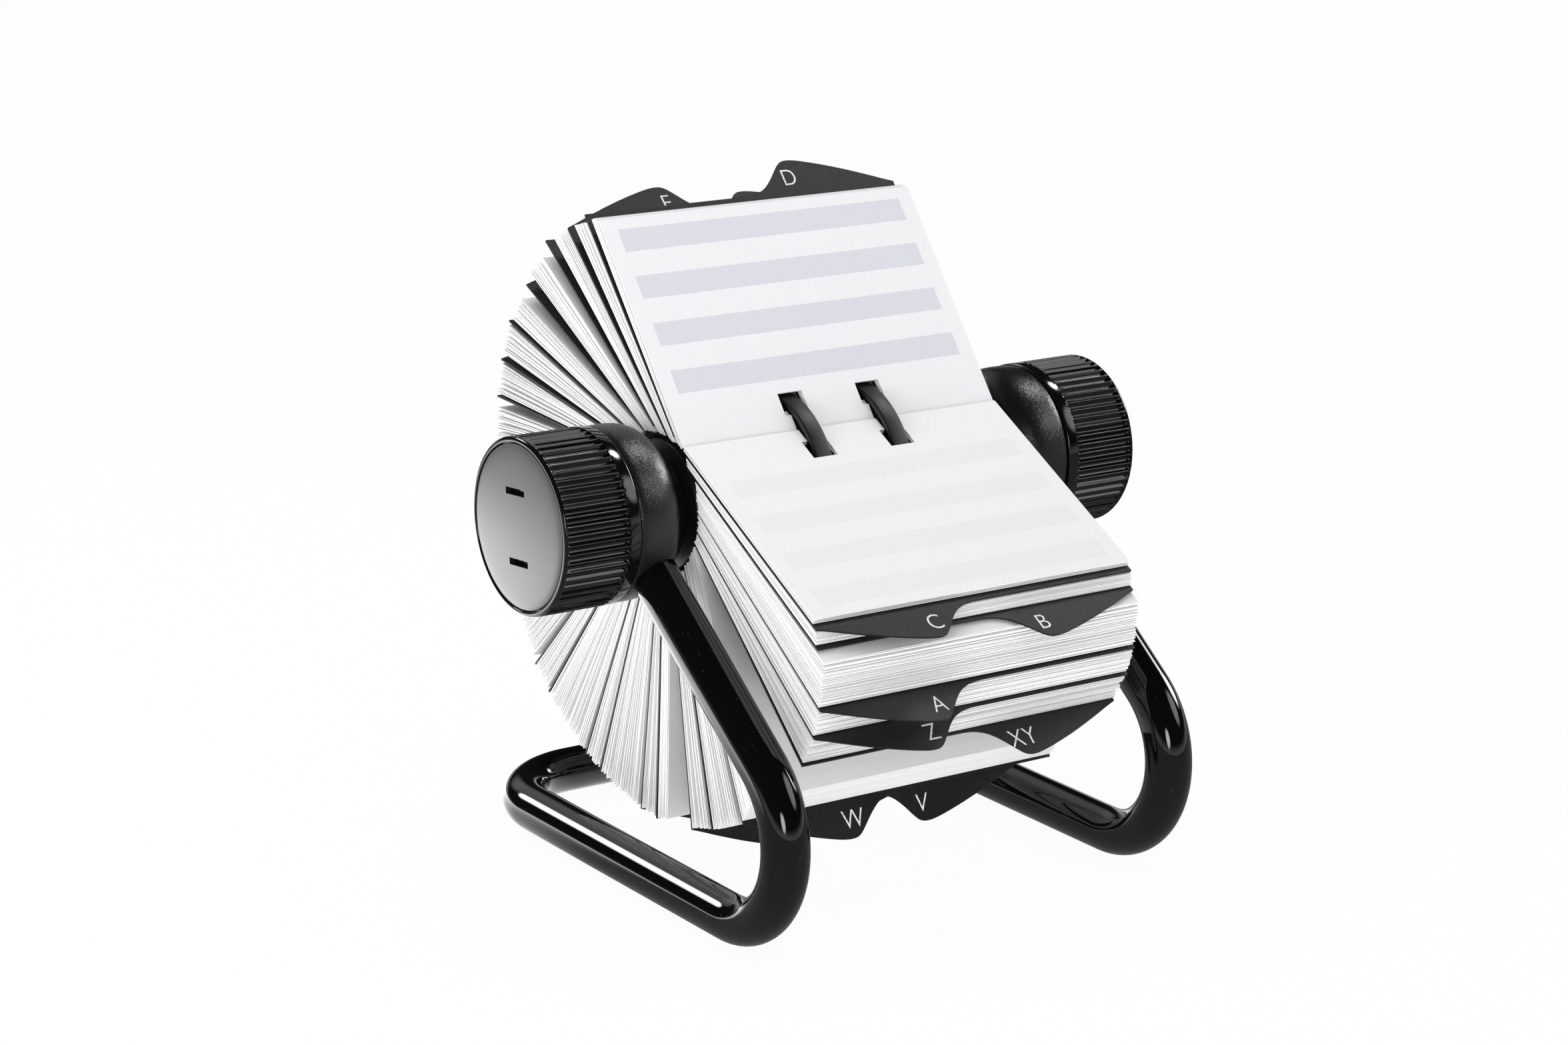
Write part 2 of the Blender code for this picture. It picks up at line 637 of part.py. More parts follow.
def make_knob(side, word, shades, drum):
    """A ribbed knob, hollow towards the housing, and the cap that covers its screw."""
    recess_radius = CAP_RADIUS + GAP
    recess_x = KNOB_OUTER_X - CAP_THICKNESS - GAP
    ribs_start = KNOB_INNER_X + KNOB_BAND + RIB_RUNOUT
    ribs_end = KNOB_OUTER_X - KNOB_RIM
    outside = [
        (KNOB_INNER_X, KNOB_RADIUS),
        (KNOB_INNER_X + KNOB_BAND, KNOB_RADIUS),
        (ribs_start, KNOB_RADIUS),
        (ribs_end, KNOB_RADIUS),
        (KNOB_OUTER_X, KNOB_FACE_RADIUS),
    ]
    sides = 2 * KNOB_RIBS
    work = spun(mirrored(outside, side), sides, ring=False)
    for vert in work.verts:
        ribbed = ribs_start - GAP < abs(vert.co.x) < ribs_end + GAP
        count = round(math.atan2(vert.co.z, vert.co.y) * sides / (2 * math.pi))
        if ribbed and count % 2:
            vert.co.yz *= (KNOB_RADIUS - RIB_DEPTH) / KNOB_RADIUS
    knob = link(word + "_knob", mesh_from(work, word + "_knob"), shades["gloss"], drum, smooth=True)
    inside = [
        (KNOB_INNER_X - OVERRUN, KNOB_CAVITY_RADIUS),
        (KNOB_INNER_X + KNOB_CAVITY_DEPTH, KNOB_CAVITY_RADIUS),
        (KNOB_INNER_X + KNOB_CAVITY_DEPTH, KNOB_BOSS_RADIUS),
        (BOSS_X, KNOB_BOSS_RADIUS),
        (BOSS_X, AXLE_RADIUS + GAP),
        (AXLE_HALF_LENGTH + GAP, AXLE_RADIUS + GAP),
        (AXLE_HALF_LENGTH + GAP, SCREW_RADIUS + GAP),
        (SCREW_SEAT_X, SCREW_RADIUS + GAP),
        (SCREW_SEAT_X, SCREW_HEAD_RADIUS + GAP),
        (recess_x, SCREW_HEAD_RADIUS + GAP),
        (recess_x, recess_radius),
        (KNOB_OUTER_X + OVERRUN, recess_radius),
    ]
    cut(knob, turned(word + "_knob_cutter", mirrored(inside, side), PLAIN_SIDES, parent=drum,
                     ring=False))

    cap_profile = [(KNOB_OUTER_X - CAP_THICKNESS, CAP_RADIUS), (KNOB_OUTER_X, CAP_RADIUS)]
    cap = turned(word + "_knob_cap", mirrored(cap_profile, side), PLAIN_SIDES, shades["cap"], drum,
                 ring=False)
    for way in (-1, 1):
        reach_in = KNOB_OUTER_X - CAP_THICKNESS - OVERRUN
        reach_out = KNOB_OUTER_X + OVERRUN
        xs = sorted((side * reach_in, side * reach_out))
        low = (xs[0], -CAP_SLOT_LENGTH / 2, way * CAP_SLOT_HEIGHT - CAP_SLOT_WIDTH / 2)
        high = (xs[1], CAP_SLOT_LENGTH / 2, way * CAP_SLOT_HEIGHT + CAP_SLOT_WIDTH / 2)
        cut(cap, block(f"{word}_slot_cutter_{way}", low, high, parent=drum))


def make_knob_screw(side, word, shade, drum):
    """The screw that holds a knob on its end of the axle."""
    seat = SCREW_SEAT_X + GAP
    head = seat + SCREW_HEAD_THICKNESS
    profile = [
        (AXLE_HALF_LENGTH - SCREW_DEPTH, SCREW_RADIUS),
        (seat, SCREW_RADIUS),
        (seat, SCREW_HEAD_RADIUS),
        (head, SCREW_HEAD_RADIUS),
        (head, SCREW_DRIVE_RADIUS),
        (head - SCREW_DRIVE_DEPTH, SCREW_DRIVE_RADIUS),
    ]
    turned(word + "_knob_screw", mirrored(profile, side), TINY_SIDES, shade, drum, ring=False)


def make_axle(shade, drum):
    """A plain rod with a screw hole in each end."""
    hole_radius = SCREW_RADIUS + GAP
    hole_floor = AXLE_HALF_LENGTH - SCREW_DEPTH - GAP
    profile = [
        (-hole_floor, hole_radius),
        (-AXLE_HALF_LENGTH, hole_radius),
        (-AXLE_HALF_LENGTH, AXLE_RADIUS),
        (AXLE_HALF_LENGTH, AXLE_RADIUS),
        (AXLE_HALF_LENGTH, hole_radius),
        (hole_floor, hole_radius),
    ]
    turned("axle", profile, SMALL_SIDES, shade, drum, ring=False)


def make_drum(shades, drum):
    """The core tube, the end plugs that centre it on the axle, and the card rails on it."""
    core_end = END_FACE_X - END_THICKNESS - GAP
    core_bore = CORE_RADIUS - CORE_WALL
    core = [
        (-core_end, core_bore),
        (-core_end, CORE_RADIUS),
        (core_end, CORE_RADIUS),
        (core_end, core_bore),
    ]
    turned("drum_core", core, PLAIN_SIDES, shades["drum"], drum)
    plug_radius = core_bore - GAP
    inner_x = END_FACE_X - END_THICKNESS
    bore = AXLE_RADIUS + GAP
    end = [
        (inner_x - END_SPIGOT, bore),
        (inner_x - END_SPIGOT, plug_radius),
        (inner_x, plug_radius),
        (inner_x, END_RADIUS),
        (END_FACE_X, END_RADIUS),
        (END_FACE_X, END_HUB_RADIUS),
        (END_FACE_X + END_HUB_PROUD, END_HUB_RADIUS),
        (END_FACE_X + END_HUB_PROUD, bore),
    ]
    rim = RAIL_RIM_WIDTH / 2
    web = RAIL_WEB_THICKNESS / 2
    rail = [
        (-web, RAIL_BORE),
        (-web, RIM_UNDERSIDE),
        (-rim, RIM_UNDERSIDE),
        (-rim, RAIL_RADIUS),
        (rim, RAIL_RADIUS),
        (rim, RIM_UNDERSIDE),
        (web, RIM_UNDERSIDE),
        (web, RAIL_BORE),
    ]
    for side, word in ((-1, "left"), (1, "right")):
        turned(word + "_drum_end", mirrored(end, side), PLAIN_SIDES, shades["drum"], drum)
        shifted = [(x + side * RAIL_SPACING / 2, radius) for x, radius in rail]
        turned(word + "_card_rail", shifted, RAIL_SIDES, shades["gloss"], drum)


def make_guides(packs, shade, drum):
    """The lettered guides, whose tabs stand to the left and to the right by turns."""
    alphabet = sorted(GUIDE_LETTERS)
    for index, (letter, (turn, offset, inner)) in enumerate(zip(GUIDE_LETTERS, GUIDE_PLANES)):
        faces = sheet_faces(turn, offset, inner, GUIDE_THICKNESS)
        make_sheet("guide_" + letter, faces, shade, drum,
                   tab_side=1 if alphabet.index(letter) % 2 else -1, overhang=GUIDE_OVERHANG,
                   raised=raised_edge(index, packs))


def make_packs(packs, shade, drum):
    """The packs of cards in front of, between and behind the guides, a few to a piece."""
    for number, start in enumerate(range(0, len(packs), PACK_GROUP), 1):
        make_comb(f"card_pack_{number}", packs[start:start + PACK_GROUP], shade, drum)


def make_front_cards(shade, drum):
    """The upper card that faces the reader, and the lower one, which flips on its edge."""
    upper = sheet_faces(*UPPER_PLANE, CARD_THICKNESS)
    make_sheet("upper_front_card", upper, shade, drum)

    flip = empty("flip_axis", FLIP_AXIS, drum)
    lower = sheet_faces(*LOWER_PLANE, CARD_THICKNESS, neck=FLIP_NECK)
    make_sheet("lower_front_card", lower, shade, flip, centre=FLIP_AXIS)


def make_materials():
    return {
        "frame": material("black_lacquer", (0.006, 0.006, 0.007), 0.12, coat=1.0),
        "housing": material("textured_black_plastic", (0.012, 0.012, 0.013), 0.45),
        "gloss": material("gloss_black_plastic", (0.008, 0.008, 0.009), 0.15),
        "drum": material("satin_black_plastic", (0.015, 0.015, 0.016), 0.40),
        "cap": material("matt_grey_plastic", (0.10, 0.10, 0.10), 0.55),
        "steel": material("bright_steel", (0.60, 0.60, 0.61), 0.25, metallic=1.0),
        "nylon": material("white_nylon", (0.75, 0.74, 0.70), 0.50),
        "rubber": material("black_friction_rubber", (0.02, 0.02, 0.02), 0.80),
        "guide": material("grained_black_plastic", (0.02, 0.02, 0.022), 0.55),
        "card": material("white_card", (0.87, 0.87, 0.88), 0.85),
    }


def main():
    for old in list(bpy.data.objects):
        bpy.data.objects.remove(old)
    shades = make_materials()
    base = empty("frame_base", (0.0, AXLE_Y, 0.0))
    axis = empty("housing_axis", (0.0, AXLE_Y, AXLE_HEIGHT))
    drum = empty("drum_axis", (0.0, AXLE_Y, AXLE_HEIGHT))

    arm = make_frame(shades["frame"], base)
    for side, word in ((-1, "left"), (1, "right")):
        make_bearing(side, word, arm, shades, axis)
        make_spring(side, word, shades["steel"], drum)
        make_knob(side, word, shades, drum)
        make_knob_screw(side, word, shades["steel"], drum)
    make_axle(shades["steel"], drum)
    make_drum(shades, drum)
    packs = all_packs()
    make_guides(packs, shades["guide"], drum)
    make_packs(packs, shades["card"], drum)
    make_front_cards(shades["card"], drum)


main()
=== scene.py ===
"""Looks of the rotary card file: a drum of fanned cards between two ribbed knobs, on a bent tube.

Everything is in metres. The drum turns on the X axis, the reader faces it from -Y,
and the tube frame stands on z = 0.
"""

import json
import math
import random

import bpy
from mathutils import Matrix, Vector


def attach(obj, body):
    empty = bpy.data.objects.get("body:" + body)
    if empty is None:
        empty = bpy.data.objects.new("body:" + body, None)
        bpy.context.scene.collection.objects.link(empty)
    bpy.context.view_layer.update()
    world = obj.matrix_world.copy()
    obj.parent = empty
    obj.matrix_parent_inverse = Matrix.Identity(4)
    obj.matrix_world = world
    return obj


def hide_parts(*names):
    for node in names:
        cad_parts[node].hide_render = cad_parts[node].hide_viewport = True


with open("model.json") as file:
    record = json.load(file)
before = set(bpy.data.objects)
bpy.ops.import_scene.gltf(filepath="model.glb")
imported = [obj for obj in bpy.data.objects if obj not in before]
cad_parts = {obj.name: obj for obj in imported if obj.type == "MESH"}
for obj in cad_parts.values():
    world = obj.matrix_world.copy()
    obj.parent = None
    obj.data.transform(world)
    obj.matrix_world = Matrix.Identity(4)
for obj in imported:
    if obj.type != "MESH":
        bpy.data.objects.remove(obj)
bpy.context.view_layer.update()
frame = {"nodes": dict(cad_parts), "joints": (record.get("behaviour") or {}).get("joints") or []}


# Tube frame. One steel tube, 13 mm across, bent into a loop: two arms that go up into the
# housings, two base rails and a back bar. Its thick black stoving lacquer has flowed out
# smooth, so it mirrors the studio, with a faint orange peel and a few specks of dust.
axle = Vector(next(joint["pos_m"] for joint in frame["joints"] if joint["name"] == "drum_spin"))
tube_radius, tube_sides = 0.0065, 56
arm_x = 0.0639
bend_radius = 0.0255
front_reach, back_reach = 0.08115, 0.0700
arm_start = 0.0100
front_bend = Vector((-arm_x, axle.y - front_reach + bend_radius, tube_radius + bend_radius))
back_bend = Vector((bend_radius - arm_x, axle.y + back_reach - bend_radius, tube_radius))
to_bend = Vector((0.0, front_bend.y - axle.y, front_bend.z - axle.z))
slope = math.atan2(-to_bend.z, -to_bend.y) - math.asin(bend_radius / to_bend.length)
down_arm = Vector((0.0, -math.cos(slope), -math.sin(slope)))
arm_top = Vector((-arm_x, axle.y, axle.z)) + down_arm * arm_start
arm_length = (front_bend - arm_top).dot(down_arm)


def colour(code):
    """The linear colour of an sRGB hex code."""
    shares = [int(code[start:start + 2], 16) / 255 for start in (1, 3, 5)]
    linear = [s / 12.92 if s <= 0.04045 else ((s + 0.055) / 1.055) ** 2.4 for s in shares]
    return (*linear, 1.0)


def new_finish(name, **sockets):
    """A new material with the named sockets of its shader set."""
    finish = bpy.data.materials.new(name)
    finish.use_nodes = True
    shader = finish.node_tree.nodes["Principled BSDF"]
    for socket, value in sockets.items():
        shader.inputs[socket.replace("_", " ")].default_value = value
    return finish


def dress(finish, **outputs):
    """Link outputs to the named sockets of a material's shader."""
    shader = finish.node_tree.nodes["Principled BSDF"]
    for socket, output in outputs.items():
        finish.node_tree.links.new(output, shader.inputs[socket.replace("_", " ")])


def add_node(owner, kind, inputs, **settings):
    """Add a node to a material or world, with its settings, and link or set its inputs."""
    node = owner.node_tree.nodes.new(kind)
    for name, value in settings.items():
        setattr(node, name, value)
    for name, value in inputs.items():
        if isinstance(value, bpy.types.NodeSocket):
            owner.node_tree.links.new(value, node.inputs[name])
        else:
            node.inputs[name].default_value = value
    return node


def on_piece(finish):
    """The place on a piece, for a pattern that is fixed to it."""
    return add_node(finish, "ShaderNodeTexCoord", {}).outputs["Object"]


def noise(finish, size, detail=2.0):
    """A cloudy pattern from 0 to 1, with waves of a size in metres."""
    return add_node(finish, "ShaderNodeTexNoise", {
        "Vector": on_piece(finish), "Scale": 1 / size, "Detail": detail}).outputs[0]


def cells(finish, size):
    """A pattern of cells of a size in metres: its Distance to a cell's middle, and a Color each."""
    return add_node(finish, "ShaderNodeTexVoronoi", {
        "Vector": on_piece(finish), "Scale": 1 / size}).outputs


def ramp(owner, value, low=0.0, high=1.0, start=0.0, stop=1.0, **settings):
    """Low at the start value, high at the stop value, and even between them."""
    return add_node(owner, "ShaderNodeMapRange", {
        "Value": value, "From Min": start, "From Max": stop,
        "To Min": low, "To Max": high}, **settings).outputs[0]


def blend(finish, share, first, second):
    """A colour that goes from the first to the second as the share goes from 0 to 1."""
    return add_node(finish, "ShaderNodeMix", {
        "Factor": share, 6: colour(first), 7: colour(second)}, data_type="RGBA").outputs[2]


def bumps(finish, height, strength, distance, **inputs):
    """The normal of a skin that a height from 0 to 1 raises by up to a distance in metres."""
    return add_node(finish, "ShaderNodeBump", {
        "Height": height, "Strength": strength, "Distance": distance, **inputs}).outputs[0]


def maths(owner, operation, *values, **settings):
    """The result of an operation on values or outputs."""
    return add_node(owner, "ShaderNodeMath", dict(enumerate(values)),
                    operation=operation, **settings).outputs[0]


merge_distance = 0.000001


def close_up():
    """Merge what meets, turn the faces outwards, leave edit mode, put the place in the mesh."""
    bpy.ops.mesh.select_all(action="SELECT")
    bpy.ops.mesh.remove_doubles(threshold=merge_distance)
    bpy.ops.mesh.normals_make_consistent(inside=False)
    bpy.ops.object.mode_set(mode="OBJECT")
    bpy.ops.object.transform_apply(location=True, rotation=True, scale=True)
    return bpy.context.object


def fit(piece, name, finish, body, slot, *nodes):
    """Name a finished piece, give it its finish, let it ride on a body in place of its nodes."""
    piece.name = name
    piece.data.name = name
    if finish:
        piece.data.materials.clear()
        piece.data.materials.append(finish)
    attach(piece, body)
    if nodes:
        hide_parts(*nodes)


bpy.ops.object.select_all(action="DESELECT")
bpy.ops.mesh.primitive_circle_add(
    vertices=tube_sides, radius=tube_radius, enter_editmode=True, location=arm_top,
    rotation=(math.pi / 2 + slope, 0.0, 0.0))
bpy.ops.mesh.extrude_region_move(TRANSFORM_OT_translate={"value": down_arm * arm_length})
bpy.ops.mesh.spin(steps=32, angle=math.pi - slope, center=front_bend, axis=(-1.0, 0.0, 0.0))
rail_run = (0.0, back_bend.y - front_bend.y, 0.0)
bpy.ops.mesh.extrude_region_move(TRANSFORM_OT_translate={"value": rail_run})
bpy.ops.mesh.spin(steps=24, angle=math.pi / 2, center=back_bend, axis=(0.0, 0.0, 1.0))
bpy.ops.mesh.extrude_region_move(TRANSFORM_OT_translate={"value": (-back_bend.x, 0.0, 0.0)})
close_up()
bpy.ops.object.modifier_add(type="MIRROR")
bpy.ops.object.modifier_apply(modifier="Mirror")
bpy.ops.object.mode_set(mode="EDIT")
bpy.ops.mesh.select_all(action="SELECT")
bpy.ops.mesh.fill_holes(sides=0)
tube = close_up()
bpy.ops.object.shade_smooth_by_angle(angle=math.radians(40))

# Stoving lacquer: a clear, hard gloss over near black. The peel's waves are 3 mm apart and
# the dust is drawn at 0.5 mm, coarser than real dust, so that it shows.
lacquer = new_finish("black_stoving_lacquer", Roughness=0.05, IOR=1.50)
specks = ramp(lacquer, noise(lacquer, 0.0005, 0.0), start=0.85, stop=0.88)
dress(lacquer,
      Base_Color=blend(lacquer, specks, "#060607", "#505050"),
      Normal=bumps(lacquer, noise(lacquer, 0.003, 1.0), 0.10, 0.00002))
fit(tube, "bent_tube", lacquer, "frame", "frame", "tube_frame")


# Bearing housings. One on each arm, moulded in black ABS: a narrow nose towards the drum that
# swells into a dome and ends square at the knob. The mould was spark eroded, so the skin is
# grained and breaks its highlight into fine sparkles. The tube goes up into a bore below.
def draw(corners):
    """Draw a closed outline by extruding one vertex from corner to corner, in edit mode."""
    bpy.ops.object.select_all(action="DESELECT")
    bpy.ops.mesh.primitive_plane_add(size=0.001, enter_editmode=True, location=corners[0])
    bpy.ops.mesh.merge(type="CENTER")
    for here, there in zip(corners, corners[1:] + corners[:1]):
        bpy.ops.mesh.extrude_region_move(TRANSFORM_OT_translate={"value": there - here})
    bpy.ops.mesh.select_all(action="SELECT")
    bpy.ops.mesh.remove_doubles(threshold=merge_distance)


def lathe(section, steps, rounding=0.0, side=1):
    """Draw a section of (x, radius) in millimetres, round its corners, spin it round the axle."""
    draw([axle + Vector((side * x, 0.0, radius)) / 1000 for x, radius in section])
    if rounding:
        bpy.ops.mesh.bevel(offset=rounding / 1000, segments=3, affect="VERTICES")
        bpy.ops.mesh.select_all(action="SELECT")
    bpy.ops.mesh.spin(steps=steps, angle=2 * math.pi, center=axle, axis=(1.0, 0.0, 0.0))
    return close_up()


def cut_with(piece, cutter):
    """Cut one piece out of another, and throw the cutter away."""
    bpy.ops.object.select_all(action="DESELECT")
    bpy.context.view_layer.objects.active = piece
    piece.select_set(True)
    bpy.ops.object.modifier_add(type="BOOLEAN")
    piece.modifiers["Boolean"].object = cutter
    bpy.ops.object.modifier_apply(modifier="Boolean")
    bpy.data.objects.remove(cutter)


housing_section = (
    (53.0, 7.3), (53.0, 16.3), (53.25, 16.8), (53.6, 17.1), (55.9, 17.9), (56.3, 18.3),
    (56.6, 18.9), (57.0, 19.8), (57.6, 20.8), (58.5, 21.8), (59.8, 22.75), (61.5, 23.5),
    (63.6, 23.95), (66.0, 24.1), (69.0, 24.05), (70.7, 23.9), (71.15, 23.65), (71.3, 23.3),
    (71.3, 7.3),
)

# Grained ABS: satin black. Each grain is a facet with its own slant, so that the light breaks
# into sparkles. The real grain is about 0.2 mm, drawn at 0.22 mm so that it shows.
facet_slant = 0.22
grained_abs = new_finish(
    "grained_black_abs", Base_Color=colour("#0d0d0e"), Roughness=0.33, IOR=1.54)
centred = add_node(grained_abs, "ShaderNodeVectorMath", {
    0: cells(grained_abs, 0.00022)["Color"], 1: (0.5, 0.5, 0.5)}, operation="SUBTRACT")
slant = add_node(grained_abs, "ShaderNodeVectorMath", {
    0: centred.outputs[0], "Scale": facet_slant}, operation="SCALE")
surface = add_node(grained_abs, "ShaderNodeNewGeometry", {})
slanted = add_node(grained_abs, "ShaderNodeVectorMath", {
    0: surface.outputs["Normal"], 1: slant.outputs[0]}, operation="ADD")
facet = add_node(grained_abs, "ShaderNodeVectorMath", {0: slanted.outputs[0]},
                 operation="NORMALIZE")
dress(grained_abs, Normal=facet.outputs[0])

bore_clearance = 0.0001
bore_depth = 0.0320
bore_from_axle = 0.0250
for side, word in ((-1, "left"), (1, "right")):
    housing = lathe(housing_section, steps=96, side=side)
    bore_middle = Vector((side * arm_x, axle.y, axle.z)) + down_arm * bore_from_axle
    bpy.ops.object.select_all(action="DESELECT")
    bpy.ops.mesh.primitive_cylinder_add(
        vertices=tube_sides, radius=tube_radius + bore_clearance, depth=bore_depth,
        location=bore_middle, rotation=(math.pi / 2 + slope, 0.0, 0.0))
    cut_with(housing, bpy.context.object)
    bpy.ops.object.shade_smooth_by_angle(angle=math.radians(35))
    fit(housing, word + "_housing", grained_abs, "frame", "housing", word + "_bearing_housing")


# Small hidden pieces, as the model has them: nylon bushes, steel grub screws, friction discs
# and wave springs. They sit inside the housings and knobs. The nylon is natural, a little
# translucent; the discs are dull rubber; the steel is drawn wire and strip, with fine lines.
nylon = new_finish(
    "natural_nylon", Roughness=0.45, IOR=1.53,
    Subsurface_Weight=0.15, Subsurface_Radius=(0.002, 0.002, 0.0015))
dress(nylon, Base_Color=blend(nylon, noise(nylon, 0.004), "#e9e7dd", "#dad7ca"))

rubber = new_finish("black_friction_rubber", Roughness=0.85, IOR=1.52)
bloom = noise(rubber, 0.0008, 3.0)
dress(rubber,
      Base_Color=blend(rubber, bloom, "#161616", "#2b2b2b"),
      Normal=bumps(rubber, bloom, 0.4, 0.00005))

# The steel's lines run along X: they are stretched 200 times as long as they are wide.
steel = new_finish("drawn_steel", Base_Color=colour("#c9c9cb"), Metallic=1.0)
along = add_node(steel, "ShaderNodeMapping", {
    "Vector": on_piece(steel), "Scale": (20.0, 4000.0, 4000.0)})
lines = add_node(steel, "ShaderNodeTexNoise", {
    "Vector": along.outputs[0], "Scale": 1.0, "Detail": 2.0})
dress(steel, Roughness=ramp(steel, lines.outputs[0], 0.20, 0.38))

for word in ("left", "right"):
    for node, finish in (("_bearing_bush", nylon), ("_grub_screw", steel),
                         ("_friction_disc", rubber), ("_clutch_spring", steel),
                         ("_knob_screw", steel)):
        frame["nodes"][word + node].data.materials[0] = finish
frame["nodes"]["axle"].data.materials[0] = steel


# Drum. A core tube round the axle, an end plug in each end, and two rails that the cards hang
# on, all moulded in black polystyrene. The core and ends are satin. The rails are polished by
# the cards that slide on them, and their edges and rims carry small bright nicks.
core_section = ((-48.2, 15.6), (-48.2, 18.0), (48.2, 18.0), (48.2, 15.6))
end_section = (
    (45.5, 4.3), (45.5, 15.3), (48.5, 15.3), (48.5, 18.2), (50.5, 18.2), (50.5, 7.5),
    (51.4, 7.5), (51.4, 4.3),
)
rail_middle = 12.9
rail_section = ((-1.5, 18.3), (-1.5, 25.6), (-2.6, 25.6), (-2.6, 27.2), (2.6, 27.2), (2.6, 25.6),
                (1.5, 25.6), (1.5, 18.3))

# Satin polystyrene: flow marks 6 mm across change how it shines.
satin_black = new_finish("satin_black_polystyrene", Base_Color=colour("#141415"), IOR=1.55)
dress(satin_black, Roughness=ramp(satin_black, noise(satin_black, 0.006), 0.36, 0.52))

# Polished polystyrene: gloss black, with nicks 0.6 mm long that show the paler plastic.
rail_black = new_finish("worn_black_polystyrene", IOR=1.55, Specular_IOR_Level=0.35)
nicks = noise(rail_black, 0.0006)
worn = ramp(rail_black, nicks, start=0.74, stop=0.80)
dress(rail_black,
      Base_Color=blend(rail_black, worn, "#0b0b0c", "#8d8d8d"),
      Roughness=ramp(rail_black, nicks, 0.40, 0.46, 0.3, 0.7))

core = lathe(core_section, steps=96, rounding=0.3)
bpy.ops.object.shade_smooth_by_angle(angle=math.radians(40))
fit(core, "core_tube", satin_black, "drum", "drum", "drum_core")
for side, word in ((-1, "left"), (1, "right")):
    end = lathe(end_section, steps=96, rounding=0.3, side=side)
    bpy.ops.object.shade_smooth_by_angle(angle=math.radians(40))
    fit(end, word + "_end_plug", satin_black, "drum", "drum", word + "_drum_end")
    rail = lathe([(rail_middle * side + x, radius) for x, radius in rail_section],
                 steps=144, rounding=0.35)
    bpy.ops.object.shade_smooth_by_angle(angle=math.radians(40))
    fit(rail, word + "_rail", rail_black, "drum", "rail", word + "_card_rail")


# Guides. Twenty-five sheets of black polypropylene, 0.5 mm thick, embossed with a fine leather
# grain. Each hooks on the rails by two keyhole slots and has a swept tab on the left or on the
# right, with its index letter screened in white on both faces. They lie in a fan that opens
# from the pair of cards that face the reader.
card_half = 0.0520
card_height = 0.0695
guide_thickness = 0.0005
guide_edge = 0.0004
tab_height = 0.010297
rail_x = rail_middle / 1000
slot_half, window_half = 0.0021, 0.0040
neck, window = 0.0048, 0.0116
rail_radius, rim_underside = 0.0272, 0.0256
hanging_gap, resting_gap = 0.0004, 0.0002

# A guide's turn is a share of the fan's span, its depth is a share of the way from the upper
# card's offset to the lower card's, and its slack is how far it has dropped onto the rails.
fan_start, fan_span = math.radians(116.3), math.radians(232.1)
upper_offset, lower_offset = 0.0220, -0.0233
guide_letters = (
    "d", "e", "f", "g", "h", "i", "j", "k", "l", "m", "n", "o", "p",
    "q", "r", "s", "t", "u", "v", "w", "xy", "z", "a", "b", "c",
)
guide_turns = (
    0.000, 0.031, 0.069, 0.121, 0.166, 0.203, 0.236, 0.280, 0.326, 0.372, 0.418, 0.463, 0.490,
    0.557, 0.580, 0.642, 0.664, 0.714, 0.743, 0.788, 0.889, 0.918, 0.942, 0.985, 1.000,
)
guide_depths = (
    0.035, 0.074, 0.112, 0.151, 0.190, 0.229, 0.268, 0.306, 0.344, 0.377, 0.411, 0.442, 0.468,
    0.499, 0.525, 0.552, 0.572, 0.594, 0.616, 0.640, 0.671, 0.711, 0.795, 0.914, 0.969,
)
guide_slacks = (
    0.05, 0.46, 0.00, 0.62, 0.25, 0.41, 0.58, 0.45, 0.35, 0.30, 0.25, 0.10, 0.20,
    0.15, 0.20, 0.15, 0.10, 0.10, 0.10, 0.00, 0.00, 0.00, 0.00, 0.95, 0.95,
)


def outward(turn):
    """The direction from the axle at a turn round it: 0 is towards the reader, 90 degrees is up."""
    return Vector((0.0, -math.cos(turn), math.sin(turn)))


def forward(turn):
    """The direction square to a card, towards the cards in front of it."""
    return outward(turn - math.pi / 2)


def reach_in(offset, slack):
    """How near the axle a card's inner edge lies, hanging from the rails or dropped onto them."""
    hanging = math.sqrt(rim_underside ** 2 - offset ** 2) - hanging_gap - neck
    resting = math.sqrt(rail_radius ** 2 - offset ** 2) + resting_gap - window
    return hanging + (resting - hanging) * slack


def card_plane(corner, offset, inner):
    """The turn, offset and inner reach of a card whose outer corner is at a turn round the axle."""
    return corner + math.atan2(offset, inner + card_height), offset, inner


def card_space(turn, offset, inner):
    """The place of a card drawn flat, with x across it, y outward and z forward."""
    middle = axle + forward(turn) * offset + outward(turn) * inner
    columns = (Vector((1.0, 0.0, 0.0)), outward(turn), forward(turn))
    return Matrix.Translation(middle) @ Matrix(columns).transposed().to_4x4()


def slotted_edge():
    """The inner edge of a card, from left to right, with its two keyhole slots."""
    corners = [(-card_half, 0.0)]
    for middle in (-rail_x, rail_x):
        corners += [
            (middle - slot_half, 0.0), (middle - slot_half, neck), (middle - window_half, neck),
            (middle - window_half, window), (middle + window_half, window),
            (middle + window_half, neck), (middle + slot_half, neck), (middle + slot_half, 0.0),
        ]
    return corners + [(card_half, 0.0)]


def curved(points, steps):
    """A smooth line through points, with the given steps between each two."""
    line = []
    ends = [points[0]] + list(points) + [points[-1]]
    for before, start, stop, after in zip(ends, ends[1:], ends[2:], ends[3:]):
        for step in range(steps):
            t = step / steps
            line.append(tuple(
                0.5 * (2 * b + (c - a) * t + (2 * a - 5 * b + 4 * c - d) * t ** 2
                       + (3 * b - a - 3 * c + d) * t ** 3)
                for a, b, c, d in zip(before, start, stop, after)))
    return line + [points[-1]]


